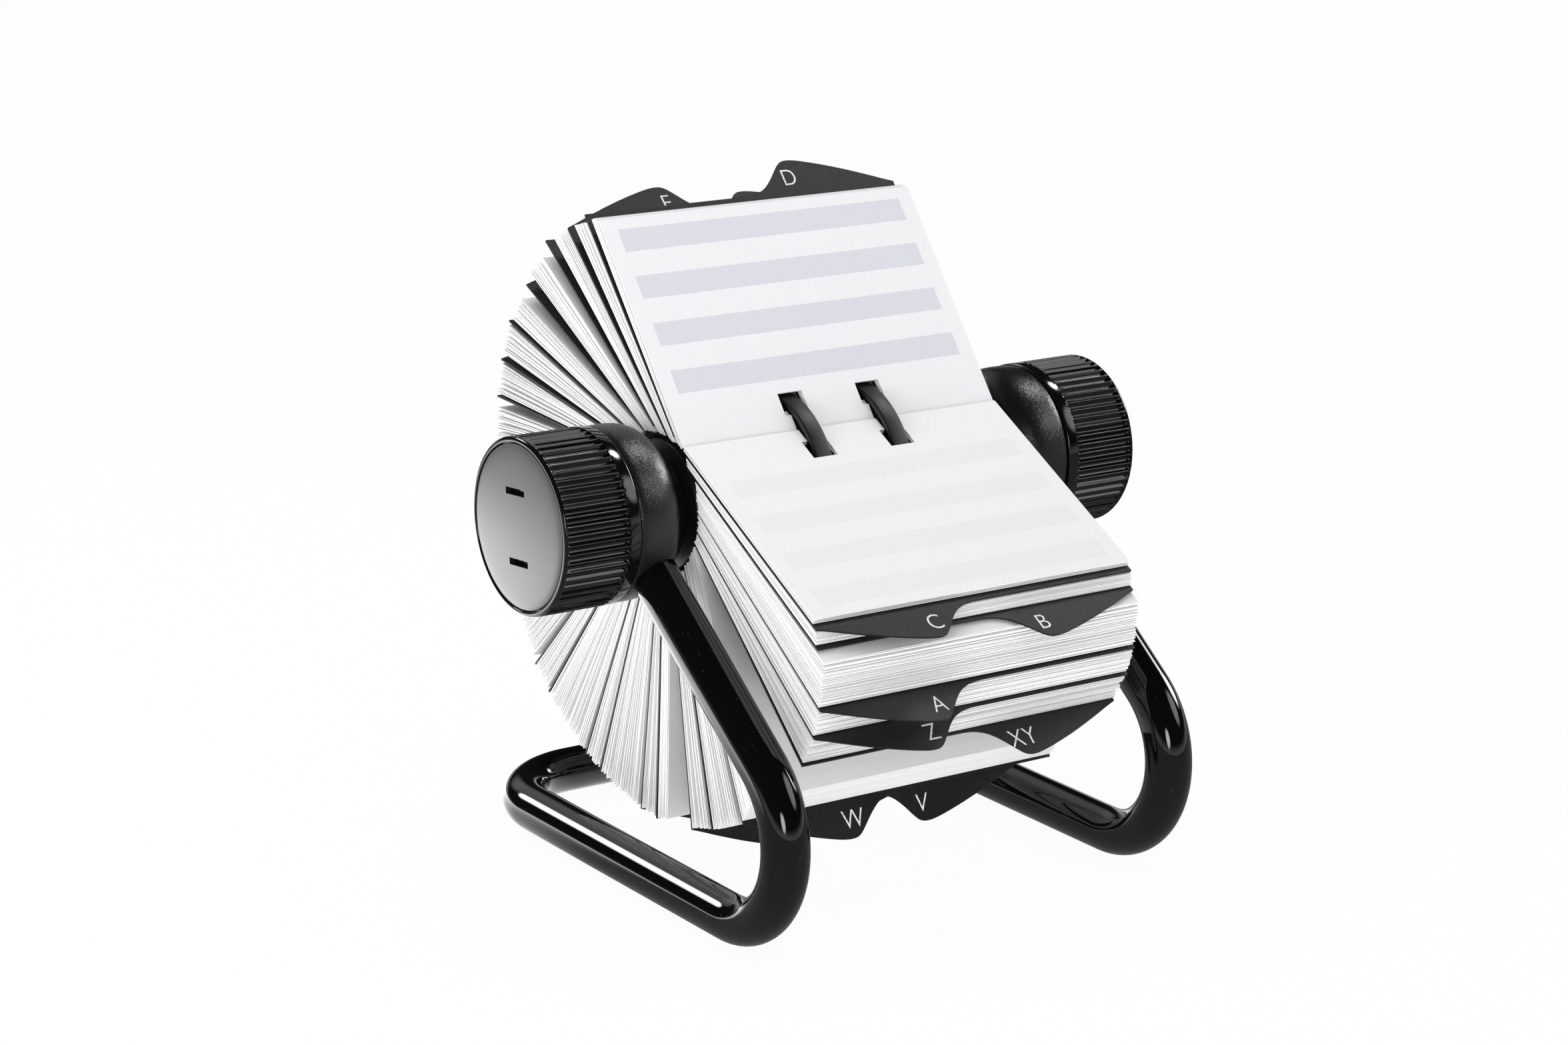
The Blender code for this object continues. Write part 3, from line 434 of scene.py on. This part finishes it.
def thicken(thickness):
    """Fill the drawn outline and give it an even thickness about its plane."""
    bpy.ops.mesh.edge_face_add()
    bpy.ops.transform.translate(value=(0.0, 0.0, -thickness / 2))
    bpy.ops.mesh.extrude_region_move(TRANSFORM_OT_translate={"value": (0.0, 0.0, thickness)})
    return close_up()


def placed(piece, space):
    """A copy of a flat piece, with its own mesh, put in its place."""
    copy = bpy.data.objects.new(piece.name, piece.data.copy())
    bpy.context.scene.collection.objects.link(copy)
    copy.data.transform(space)
    return copy


# The tab, from the card's corner up to the peak and down to the middle of the card.
tab_line = curved((
    (1.00, 0.00), (0.93, 0.13), (0.86, 0.27), (0.77, 0.44), (0.68, 0.60), (0.58, 0.76),
    (0.48, 0.90), (0.415, 0.975), (0.37, 1.00), (0.335, 0.985), (0.305, 0.91), (0.27, 0.74),
    (0.23, 0.52), (0.19, 0.33), (0.15, 0.18), (0.10, 0.07), (0.05, 0.015), (0.00, 0.00),
), 3)

# Polypropylene with a leather grain: dull black with a soft sheen. The grain's cells are
# 0.5 mm across.
grained_sheet = new_finish(
    "grained_black_polypropylene", Roughness=0.55, IOR=1.49, Specular_IOR_Level=0.35)
grain = cells(grained_sheet, 0.0005)["Distance"]
dress(grained_sheet,
      Base_Color=blend(grained_sheet, grain, "#0c0c0d", "#1c1c1d"),
      Normal=bumps(grained_sheet, grain, 0.5, 0.0001))

# Screen ink: flat white, a little thin where the grain's hollows show through it.
white_ink = new_finish("white_screen_ink", Roughness=0.60)
thin = ramp(white_ink, cells(white_ink, 0.0005)["Distance"], start=0.5, stop=0.9)
dress(white_ink, Base_Color=blend(white_ink, thin, "#f4f4f4", "#b9b9ba"))

guide_blanks = {}
for side in (-1, 1):
    tab = [(side * card_half * across, card_height + guide_edge + tab_height * up)
           for across, up in tab_line]
    tab.append((-side * card_half, card_height + guide_edge))
    draw([Vector((x, y, 0.0)) for x, y in slotted_edge() + tab[::side]])
    guide_blanks[side] = thicken(guide_thickness)

# Index letters: a plain face with its strokes thinned and its width drawn in a little. Its
# capitals are 0.70 high at size 1, and each letter is flat enough to lie on the sheet.
letter_height, letter_foot, letter_x = 0.0053, 0.0022, 0.0175
letter_width, stroke_thinning, ink_depth, capital_share = 0.92, -0.012, 0.004, 0.70
letter_shape = (Matrix.Diagonal((letter_width, 1.0, 1.0, 1.0))
                @ Matrix.Scale(letter_height / capital_share, 4))
letter_blanks = {}
for word in guide_letters:
    bpy.ops.object.select_all(action="DESELECT")
    bpy.ops.object.text_add()
    text = bpy.context.object
    text.data.body = word.upper()
    text.data.align_x = "CENTER"
    text.data.offset = stroke_thinning
    text.data.extrude = ink_depth
    bpy.ops.object.convert(target="MESH")
    letter = bpy.context.object
    letter.data.transform(letter_shape)
    letter_blanks[word] = letter

guide_planes = {}
for index, word in enumerate(guide_letters):
    offset = upper_offset + (lower_offset - upper_offset) * guide_depths[index]
    plane = card_plane(fan_start + fan_span * guide_turns[index], offset,
                       reach_in(offset, guide_slacks[index]))
    guide_planes[word] = plane
    side = 1 if sorted(guide_letters).index(word) % 2 else -1
    space = card_space(*plane)
    sheet = placed(guide_blanks[side], space)
    fit(sheet, "guide_sheet_" + word, grained_sheet, "drum", "guide", "guide_" + word)
    for way, face in ((1, "front"), (-1, "back")):
        foot = letter_foot if way > 0 else letter_foot + letter_height
        on_tab = Matrix.Translation(
            (side * letter_x, card_height + guide_edge + foot, way * guide_thickness / 2))
        turn_over = Matrix.Diagonal((1.0, way, way, 1.0))
        letter = placed(letter_blanks[word], space @ on_tab @ turn_over)
        fit(letter, f"index_{face}_{word}", white_ink, "drum", "guide")
for blank in list(guide_blanks.values()) + list(letter_blanks.values()):
    bpy.data.objects.remove(blank)


# Cards. White index card, 0.2 mm thick, guillotined, so each edge is a clean thin line. Their
# inner edges have the same keyhole slots as the guides. About fifteen lie behind each guide,
# in clumps of one to four, a little uneven at the outer edge. Pale ruled bands are printed on
# the front of each, and only shine through faintly on the back.
band_pitch, band_width = 0.01447, 0.0070
band_top, band_bottom, band_half = 0.0660, 0.0150, 0.0472


def leaf_tone(finish):
    """How light a single card of a pack is, from its mesh."""
    return add_node(finish, "ShaderNodeAttribute", {}, attribute_name="tone").outputs["Fac"]


def toned(finish, painted, tone):
    """A colour made lighter or darker by a tone."""
    return add_node(finish, "ShaderNodeVectorMath", {
        0: painted, "Scale": tone}, operation="SCALE").outputs[0]


card_front = new_finish("printed_card", Roughness=0.85)
plain_back = new_finish("card_back", Roughness=0.85)
for finish, paper, band in ((card_front, "#ededf0", "#d8d8e0"),
                            (plain_back, "#f1f1f1", "#ededee")):
    flat = add_node(finish, "ShaderNodeUVMap", {}, uv_map="card")
    across, up, _ = add_node(finish, "ShaderNodeSeparateXYZ", {"Vector": flat.outputs[0]}).outputs
    rows_down = maths(finish, "DIVIDE", maths(finish, "SUBTRACT", band_top, up), band_pitch)
    ruled = maths(finish, "LESS_THAN", maths(finish, "FRACT", rows_down), band_width / band_pitch)
    above = maths(finish, "GREATER_THAN", up, band_bottom)
    below = maths(finish, "LESS_THAN", up, band_top)
    within = maths(finish, "LESS_THAN", maths(finish, "ABSOLUTE", across), band_half)
    mask = maths(finish, "MULTIPLY", maths(finish, "MULTIPLY", ruled, above),
                 maths(finish, "MULTIPLY", below, within))
    mottle = ramp(finish, noise(finish, 0.0012, 3.0), 0.975, 1.015)
    tone = maths(finish, "MULTIPLY", leaf_tone(finish), mottle)
    dress(finish, Base_Color=toned(finish, blend(finish, mask, paper, band), tone))

cut_edge = new_finish("cut_card_edge", Roughness=0.9)
fuzz = blend(cut_edge, noise(cut_edge, 0.0008), "#ececed", "#f6f6f6")
dress(cut_edge, Base_Color=toned(cut_edge, fuzz, leaf_tone(cut_edge)))


def card_blank(thickness, corners, rows):
    """A card drawn flat, with extra rows across it so that it can bend."""
    draw([Vector((x, y, 0.0)) for x, y in corners])
    bpy.ops.mesh.edge_face_add()
    for row in rows:
        bpy.ops.mesh.select_all(action="SELECT")
        bpy.ops.mesh.bisect(plane_co=(0.0, row, 0.0), plane_no=(0.0, 1.0, 0.0))
    bpy.ops.mesh.select_all(action="SELECT")
    bpy.ops.transform.translate(value=(0.0, 0.0, -thickness / 2))
    bpy.ops.mesh.extrude_region_move(TRANSFORM_OT_translate={"value": (0.0, 0.0, thickness)})
    return close_up()


def pile(name, blank, leaves):
    """One mesh of many cards: each leaf gives its space, bend, sideways shift and tone."""
    flat_face = 0.5
    flat = [tuple(vertex.co) for vertex in blank.data.vertices]
    faces = [(tuple(face.vertices), face.normal.z) for face in blank.data.polygons]
    points, rings, kinds, marks, tones = [], [], [], [], []
    for space, bend, shift, tone in leaves:
        start = len(points)
        for x, y, z in flat:
            bow = bend(y)
            points.append(space @ Vector((x + shift, y, z + bow)))
            tones.append(tone)
        for corners, up in faces:
            rings.append([start + corner for corner in corners])
            kinds.append(0 if up > flat_face else 1 if up < -flat_face else 2)
            marks += [flat[corner][:2] for corner in corners]
    mesh = bpy.data.meshes.new(name)
    mesh.from_pydata(points, [], rings)
    layer = mesh.uv_layers.new(name="card")
    for loop, mark in zip(layer.data, marks):
        loop.uv = mark
    attribute = mesh.attributes.new("tone", "FLOAT", "POINT")
    attribute.data.foreach_set("value", tones)
    for finish in (card_front, plain_back, cut_edge):
        mesh.materials.append(finish)
    mesh.polygons.foreach_set("material_index", kinds)
    piece = bpy.data.objects.new(name, mesh)
    bpy.context.scene.collection.objects.link(piece)
    return piece


# Packs. Each lies between the sheets in front of it and behind it, with its own slack on the
# rails, and with a share of the swing between them left free at its front and at its back.
pack_slacks = (
    0.45, 0.62, 0.50, 0.45, 0.40, 0.30, 0.45, 0.50, 0.40, 0.30, 0.30, 0.15, 0.10,
    0.10, 0.15, 0.15, 0.10, 0.10, 0.10, 0.00, 0.00, 0.00, 0.00, 0.00, 0.95, 0.95,
)
pack_frees = (
    (0.00, 0.45), (0.05, 0.33), (0.03, 0.33), (0.25, 0.25), (0.35, 0.08), (0.05, 0.15),
    (0.05, 0.08), (0.20, 0.05), (0.10, 0.15), (0.10, 0.10), (0.15, 0.10), (0.05, 0.12),
    (0.02, 0.10), (0.01, 0.06), (0.01, 0.10), (0.01, 0.06), (0.01, 0.08), (0.01, 0.70),
    (0.01, 0.12), (0.01, 0.12), (0.00, 0.78), (0.02, 0.04), (0.02, 0.05), (0.02, 0.04),
    (0.02, 0.05), (0.05, 0.05),
)
upper_turn, upper_slack = math.radians(111.88), 0.39
lower_turn, lower_inner = math.radians(350.0), 0.0035
upper_plane = card_plane(upper_turn, upper_offset, reach_in(upper_offset, upper_slack))
lower_plane = card_plane(lower_turn, lower_offset, lower_inner)
sheets = [upper_plane] + [guide_planes[word] for word in guide_letters] + [lower_plane]
card_outline = slotted_edge() + [(card_half, card_height), (-card_half, card_height)]
bend_rows = (0.0180, 0.0350, 0.0520)

# A clump's steps are in leaves, and the lengths are in metres.
leaf_thickness, leaf_pitch = 0.00020, 0.00022
pack_gap, most_leaves = 0.0006, 40
clump_sizes, clump_gaps, clump_step = (1, 2, 2, 3, 4), (1.0, 1.8), 0.6
most_bow, slide_spread, shift_spread = 0.0006, 0.00030, 0.00018
leaf_tones = (0.96, 1.0)


def edge_points(turn, offset, inner):
    """The middle of a card's inner edge and of its outer edge, from the axle."""
    foot = forward(turn) * offset + outward(turn) * inner
    return foot, foot + outward(turn) * card_height


def swung(points, angle):
    """A card's two edges after it has turned about its inner edge."""
    foot, tip = points
    return foot, foot + Matrix.Rotation(-angle, 3, "X") @ (tip - foot)


dice = random.Random(7)
plain_blank = card_blank(leaf_thickness, card_outline, bend_rows)


def pack_leaves(front, back, slack, free):
    """The cards of one pack, fanned evenly from its front to its back, in small clumps."""
    front_offset, back_offset = front[1] - pack_gap, back[1] + pack_gap
    first = edge_points(front[0], front_offset, reach_in(front_offset, slack))
    last = edge_points(back[0], back_offset, reach_in(back_offset, slack))
    swing = (first[1] - last[1]).length / card_height
    first, last = swung(first, swing * free[0]), swung(last, -swing * free[1])
    room = min((first[0] - last[0]).length, (first[1] - last[1]).length)
    count = max(2, min(most_leaves, round(room / leaf_pitch)))
    places = [0.0]
    while len(places) < count:
        after = places[-1] + dice.uniform(*clump_gaps)
        places += [after + clump_step * step for step in range(dice.choice(clump_sizes))]
    places = [place / places[count - 1] for place in places[:count]]
    leaves = []
    sway = dice.uniform(-most_bow, most_bow)
    for place in places:
        foot = first[0].lerp(last[0], place)
        tip = first[1].lerp(last[1], place)
        out = (tip - foot).normalized()
        slide = -abs(dice.gauss(0.0, slide_spread))
        space = card_space(math.atan2(out.z, -out.y), 0.0, 0.0)
        space.translation = axle + foot + out * slide
        bow = sway * math.sin(math.pi * place)
        leaves.append((
            space,
            lambda y, bow=bow: bow * math.sin(math.pi * y / card_height),
            dice.gauss(0.0, shift_spread),
            dice.uniform(*leaf_tones),
        ))
    return leaves


packs_in_group = 3
for number in range(math.ceil(len(pack_slacks) / packs_in_group)):
    leaves = []
    begin = packs_in_group * number
    for index in range(begin, min(begin + packs_in_group, len(pack_slacks))):
        leaves += pack_leaves(sheets[index], sheets[index + 1], pack_slacks[index],
                              pack_frees[index])
    name = f"card_pack_{number + 1}"
    fit(pile(name + "_cards", plain_blank, leaves), name + "_cards", None, "drum", "card", name)
bpy.data.objects.remove(plain_blank)


# The open pair. The upper card stands against the cards under D and is held by the rails. The
# lower card lies on guide C and flips over on the rails, so it is a piece of its own. Both are
# the same white printed card as the rest: the upper one shows its front, the lower its back.
open_thickness = 0.0003
open_blank = card_blank(open_thickness, card_outline, bend_rows)
for name, plane, body, node in (("upper_card", upper_plane, "drum", "upper_front_card"),
                                ("lower_card", lower_plane, "front_card", "lower_front_card")):
    card = pile(name, open_blank, [(card_space(*plane), lambda y: 0.0, 0.0, 1.0)])
    fit(card, name, None, body, "card", node)
bpy.data.objects.remove(open_blank)


# Knobs. One on each end of the axle, moulded hollow in gloss black ABS: a plain band beside the
# housing, sixty scooped grooves with rounded ends and thin crests between them to grip, and a
# rounded rim round the cap. A screw under the cap pulls it up against the axle.
grooves = 60
columns = (-1.2723, -1.18, -1.08, -0.96, -0.76, -0.40, 0.0, 0.40, 0.76, 0.96, 1.08, 1.18)
scoop = (0.0, 0.03, 0.12, 0.30, 0.64, 1.06, 1.20, 1.06, 0.64, 0.30, 0.12, 0.03)
knob_radius, skin = 24.3, 0.01
groove_start, groove_end, run_out = 74.9, 94.3, 1.5
knob_section = (
    (71.6, 20.0), (71.6, 23.9), (71.75, 24.2), (72.1, 24.3), (74.4, 24.3), (74.9, 24.3),
    (74.98, 24.3), (75.1, 24.3), (75.3, 24.3), (75.6, 24.3), (76.0, 24.3), (76.5, 24.3),
    (79.0, 24.3), (84.0, 24.3), (89.0, 24.3), (92.7, 24.3), (93.2, 24.3), (93.6, 24.3),
    (93.9, 24.3), (94.1, 24.3), (94.22, 24.3), (94.3, 24.3), (94.6, 24.22), (94.85, 24.02),
    (95.03, 23.7), (95.1, 23.35), (95.06, 23.05), (94.9, 22.85), (94.6, 22.8),
    (93.3, 22.8), (93.3, 4.1), (91.1, 4.1), (91.1, 2.3), (88.3, 2.3), (88.3, 4.3), (76.0, 4.3),
    (76.0, 14.5), (87.6, 14.5), (87.6, 20.0),
)

# Gloss ABS: a hard shine with hardly any texture. Handling leaves faint smears 8 mm long that
# dull it a little, and a few specks of dust, drawn at 0.5 mm so that they show.
gloss_abs = new_finish("gloss_black_abs", IOR=1.54, Specular_IOR_Level=0.40)
specks = ramp(gloss_abs, noise(gloss_abs, 0.0005), start=0.78, stop=0.82)
dress(gloss_abs,
      Base_Color=blend(gloss_abs, specks, "#09090a", "#8a8a8a"),
      Roughness=ramp(gloss_abs, noise(gloss_abs, 0.008, 3.0), 0.06, 0.13))

# Each ring of points round a knob is moved to the columns of its grooves, in millimetres round
# the skin, and in from the skin by the scoop, which runs out at both ends of a groove.
pitch = 2 * math.pi / grooves
for side, word in ((-1, "left"), (1, "right")):
    knob = lathe(knob_section, steps=grooves * len(columns), side=side)
    for vertex in knob.data.vertices:
        spoke = (vertex.co - axle) * 1000
        radius, turn = math.hypot(spoke.y, spoke.z), math.atan2(spoke.z, spoke.y)
        column = round((turn - math.pi / 2) / pitch * len(columns))
        across = columns[column % len(columns)]
        turn = math.pi / 2 + (column // len(columns)) * pitch + (across - columns[0]) / knob_radius
        along = abs(spoke.x)
        if radius > knob_radius - skin and groove_start < along < groove_end:
            near_end = min(1.0, min(along - groove_start, groove_end - along) / run_out)
            radius -= scoop[column % len(columns)] * math.sqrt(1 - (1 - near_end) ** 2)
        spoke.y, spoke.z = radius * math.cos(turn), radius * math.sin(turn)
        vertex.co = axle + spoke / 1000
    bpy.ops.object.shade_smooth_by_angle(angle=math.radians(50))
    fit(knob, word + "_ribbed_knob", gloss_abs, "drum", "knob", word + "_knob")


# Knob caps. A disc of ABS pressed into each knob over its screw, with two slots to lever it out
# by. Its face is finely blasted, very slightly domed, and sprayed a silver-grey lacquer, so it
# is matt and shades from dark to light as its slant turns. The slots show the black ABS.
cap_section = (
    (93.6, 0.0), (95.6, 0.0), (95.58, 6.0), (95.53, 12.0), (95.45, 17.5), (95.36, 20.5),
    (95.22, 21.7), (94.95, 22.3), (94.6, 22.5), (93.6, 22.5),
)
# Silver-grey lacquer: few aluminium flakes in a grey binder, so only partly a metal. The spray
# clouds over 14 mm, and the blasted grit is 0.3 mm.
crown_curve = 2.6
grey_lacquer = new_finish("silver_grey_lacquer", Metallic=0.25)
clouds = noise(grey_lacquer, 0.014)
about_axle = add_node(grey_lacquer, "ShaderNodeMapping", {
    "Vector": on_piece(grey_lacquer), "Location": (0.0, -axle.y, -axle.z),
    "Scale": (0.0, 1.0, 1.0)}).outputs[0]
away = add_node(grey_lacquer, "ShaderNodeVectorMath", {0: about_axle, 1: about_axle},
                operation="DOT_PRODUCT").outputs["Value"]
domed = bumps(grey_lacquer, maths(grey_lacquer, "MULTIPLY", away, -crown_curve), 1.0, 1.0)
dress(grey_lacquer,
      Base_Color=blend(grey_lacquer, clouds, "#565656", "#606060"),
      Normal=bumps(grey_lacquer, noise(grey_lacquer, 0.0003), 0.25, 0.00003, Normal=domed),
      Roughness=ramp(grey_lacquer, clouds, 0.34, 0.42))

slot_size = (0.0060, 0.0096, 0.0019)
slot_x, slot_out, slot_tilt = 0.0945, 0.0096, math.radians(-5.0)
for side, word in ((-1, "left"), (1, "right")):
    cap = lathe(cap_section, steps=128, side=side)
    cap.data.materials.append(grey_lacquer)
    cap.data.materials.append(satin_black)
    for way in (-1, 1):
        bpy.ops.object.select_all(action="DESELECT")
        bpy.ops.mesh.primitive_cube_add(
            size=1.0, rotation=(slot_tilt, 0.0, 0.0), scale=slot_size,
            location=axle + Vector((side * slot_x, -way * slot_out * math.sin(slot_tilt),
                                    way * slot_out * math.cos(slot_tilt))))
        for face in bpy.context.object.data.polygons:
            face.material_index = 1
        cut_with(cap, bpy.context.object)
    bpy.ops.object.shade_smooth_by_angle(angle=math.radians(30))
    fit(cap, word + "_cap", None, "drum", "cap", word + "_knob_cap")


# Studio. A white sweep of paper on a light table, under a large soft key lamp, with a low fill
# lamp at the reader's left. What shines mirrors a dim surround with six softboxes and a dark
# patch in it, and a pool of glow painted on the paper behind the file, seen only in mirrors;
# these draw the long highlights on the tube and knobs. The lamps themselves are kept out of
# mirrors.

# The pool is glow painted on the paper and seen only in mirrors. It has its middle, its inner
# and outer radius and its light, and it fades in between two depths. The surround has the
# height of its skyline, the light there, and the least light.
pool_middle, pool_edges, pool_light = (-0.15, 0.20, 0.0), (0.10, 0.46), 4.2
pool_front_edge = (0.0, 0.14)
paper_in_mirrors, paper_in_view, glow_share = 0.28, 1.0, 0.96
skyline, skyline_light, darkest_mirror = 0.16, 1.0, 0.02
fill_light, backdrop_light = 0.57, 1.0
white_light = (1.0, 1.0, 1.0, 1.0)

bpy.ops.object.select_all(action="DESELECT")
bpy.ops.mesh.primitive_plane_add(size=8.0, location=(0.0, 0.0, 0.0))
floor = bpy.context.object
floor.name = "floor"
paper = new_finish("white_sweep", Base_Color=colour("#f4f4f4"), Roughness=0.9)
sight = add_node(paper, "ShaderNodeLightPath", {}).outputs
ground = add_node(paper, "ShaderNodeNewGeometry", {}).outputs["Position"]
from_pool = add_node(paper, "ShaderNodeVectorMath", {0: ground, 1: pool_middle},
                     operation="DISTANCE").outputs["Value"]
pool = ramp(paper, from_pool, pool_light, 0.0, *pool_edges, interpolation_type="SMOOTHSTEP")
depth = add_node(paper, "ShaderNodeSeparateXYZ", {0: ground}).outputs["Y"]
behind = ramp(paper, depth, 0.0, 1.0, *pool_front_edge, interpolation_type="SMOOTHSTEP")
# Painted glow: in mirrors the paper shows the pool, added to its even dim glow.
painted_mirror_glow = maths(paper, "MULTIPLY_ADD", pool, behind, paper_in_mirrors)
shine = add_node(paper, "ShaderNodeMix", {
    0: sight["Is Glossy Ray"], 2: paper_in_view, 3: painted_mirror_glow}).outputs[0]
direct = maths(paper, "ADD", sight["Is Camera Ray"], sight["Is Glossy Ray"])
seen = maths(paper, "ADD", direct, sight["Is Transmission Ray"], use_clamp=True)
glow = add_node(paper, "ShaderNodeEmission", {"Color": white_light, "Strength": shine})
sweep = add_node(paper, "ShaderNodeMixShader", {
    0: maths(paper, "MULTIPLY", seen, glow_share),
    1: paper.node_tree.nodes["Principled BSDF"].outputs[0], 2: glow.outputs[0]})
paper.node_tree.links.new(sweep.outputs[0],
                          paper.node_tree.nodes["Material Output"].inputs["Surface"])
floor.data.materials.append(paper)

# The surround that mirrors see: paler at the skyline than above it. Each softbox has its
# direction, the half angles in degrees of its soft edge and of its even core, and its light.
softboxes = (
    ((-0.60, 0.79, 0.05), 42, 12, -0.8),
    ((0.56, 0.10, 0.82), 7, 3, 24.0),
    ((0.90, -0.02, 0.43), 14, 5, 15.0),
    ((0.62, -0.56, 0.55), 17, 9, 3.2),
    ((-0.30, 0.80, 0.53), 10, 4, 16.0),
    ((0.05, 0.84, 0.54), 24, 5, 0.7),
    ((-0.52, -0.82, 0.22), 10, 5, 10.0),
)
world = bpy.data.worlds.new("studio")
bpy.context.scene.world = world
world.use_nodes = True
sight = add_node(world, "ShaderNodeLightPath", {}).outputs
toward = add_node(world, "ShaderNodeTexCoord", {}).outputs["Generated"]
height = add_node(world, "ShaderNodeSeparateXYZ", {"Vector": toward}).outputs["Z"]
mirrored = ramp(world, height, skyline_light, darkest_mirror, 0.0, skyline,
                interpolation_type="SMOOTHSTEP")
for direction, edge, core, strength in softboxes:
    facing = add_node(world, "ShaderNodeVectorMath", {
        0: toward, 1: Vector(direction).normalized()}, operation="DOT_PRODUCT").outputs["Value"]
    softbox = ramp(world, facing, 0.0, strength, math.cos(math.radians(edge)),
                   math.cos(math.radians(core)), interpolation_type="SMOOTHSTEP")
    mirrored = maths(world, "ADD", mirrored, softbox)
mirrored = maths(world, "MAXIMUM", mirrored, darkest_mirror)
shiny = maths(world, "ADD", sight["Is Glossy Ray"], sight["Is Transmission Ray"], use_clamp=True)
fill, in_mirror, backdrop = [
    add_node(world, "ShaderNodeBackground",
             {"Color": white_light, "Strength": strength}).outputs[0]
    for strength in (fill_light, mirrored, backdrop_light)]
in_gloss = add_node(world, "ShaderNodeMixShader", {0: shiny, 1: fill, 2: in_mirror})
in_view = add_node(world, "ShaderNodeMixShader", {
    0: sight["Is Camera Ray"], 1: in_gloss.outputs[0], 2: backdrop})
world.node_tree.links.new(in_view.outputs[0],
                          world.node_tree.nodes["World Output"].inputs["Surface"])

# Each lamp has its place, its size and its power in watts, and faces the axle.
lamps = (
    ("key", (-0.20, 0.10, 1.30), (1.0, 1.0), 7.0),
    ("low_fill", (-1.45, -0.35, 0.22), (1.0, 0.5), 10.0),
    ("light_table", (0.0, axle.y, 0.001), (2.0, 2.0), 15.0),
)
for name, place, size, power in lamps:
    lamp = bpy.data.lights.new(name, "AREA")
    lamp.shape = "RECTANGLE"
    lamp.size, lamp.size_y = size
    lamp.energy = power
    panel = bpy.data.objects.new(name, lamp)
    bpy.context.scene.collection.objects.link(panel)
    panel.location = place
    panel.rotation_euler = (axle - Vector(place)).to_track_quat("-Z", "Y").to_euler()
    panel.visible_camera = False
    panel.visible_glossy = False

# Camera, at the reader's left and above, as the photograph was taken. Its place and its three
# directions were fitted to the photograph.
camera_place = (-0.5727336, axle.y - 0.8195126, 0.3631831)
lens = bpy.data.cameras.new("camera")
lens.lens = 85.134
lens.sensor_width = 36.0
lens.clip_start = 0.01
camera = bpy.data.objects.new("camera", lens)
bpy.context.scene.collection.objects.link(camera)
right = Vector((0.8259583, -0.5636197, 0.0112141))
down = Vector((-0.1384201, -0.2220517, -0.9651595))
ahead = Vector((0.5464730, 0.7956292, -0.2614217))
camera.matrix_world = (
    Matrix.Translation(camera_place)
    @ Matrix((right, -down, -ahead)).transposed().to_4x4())
bpy.context.scene.camera = camera
bpy.context.scene.view_settings.view_transform = "Standard"
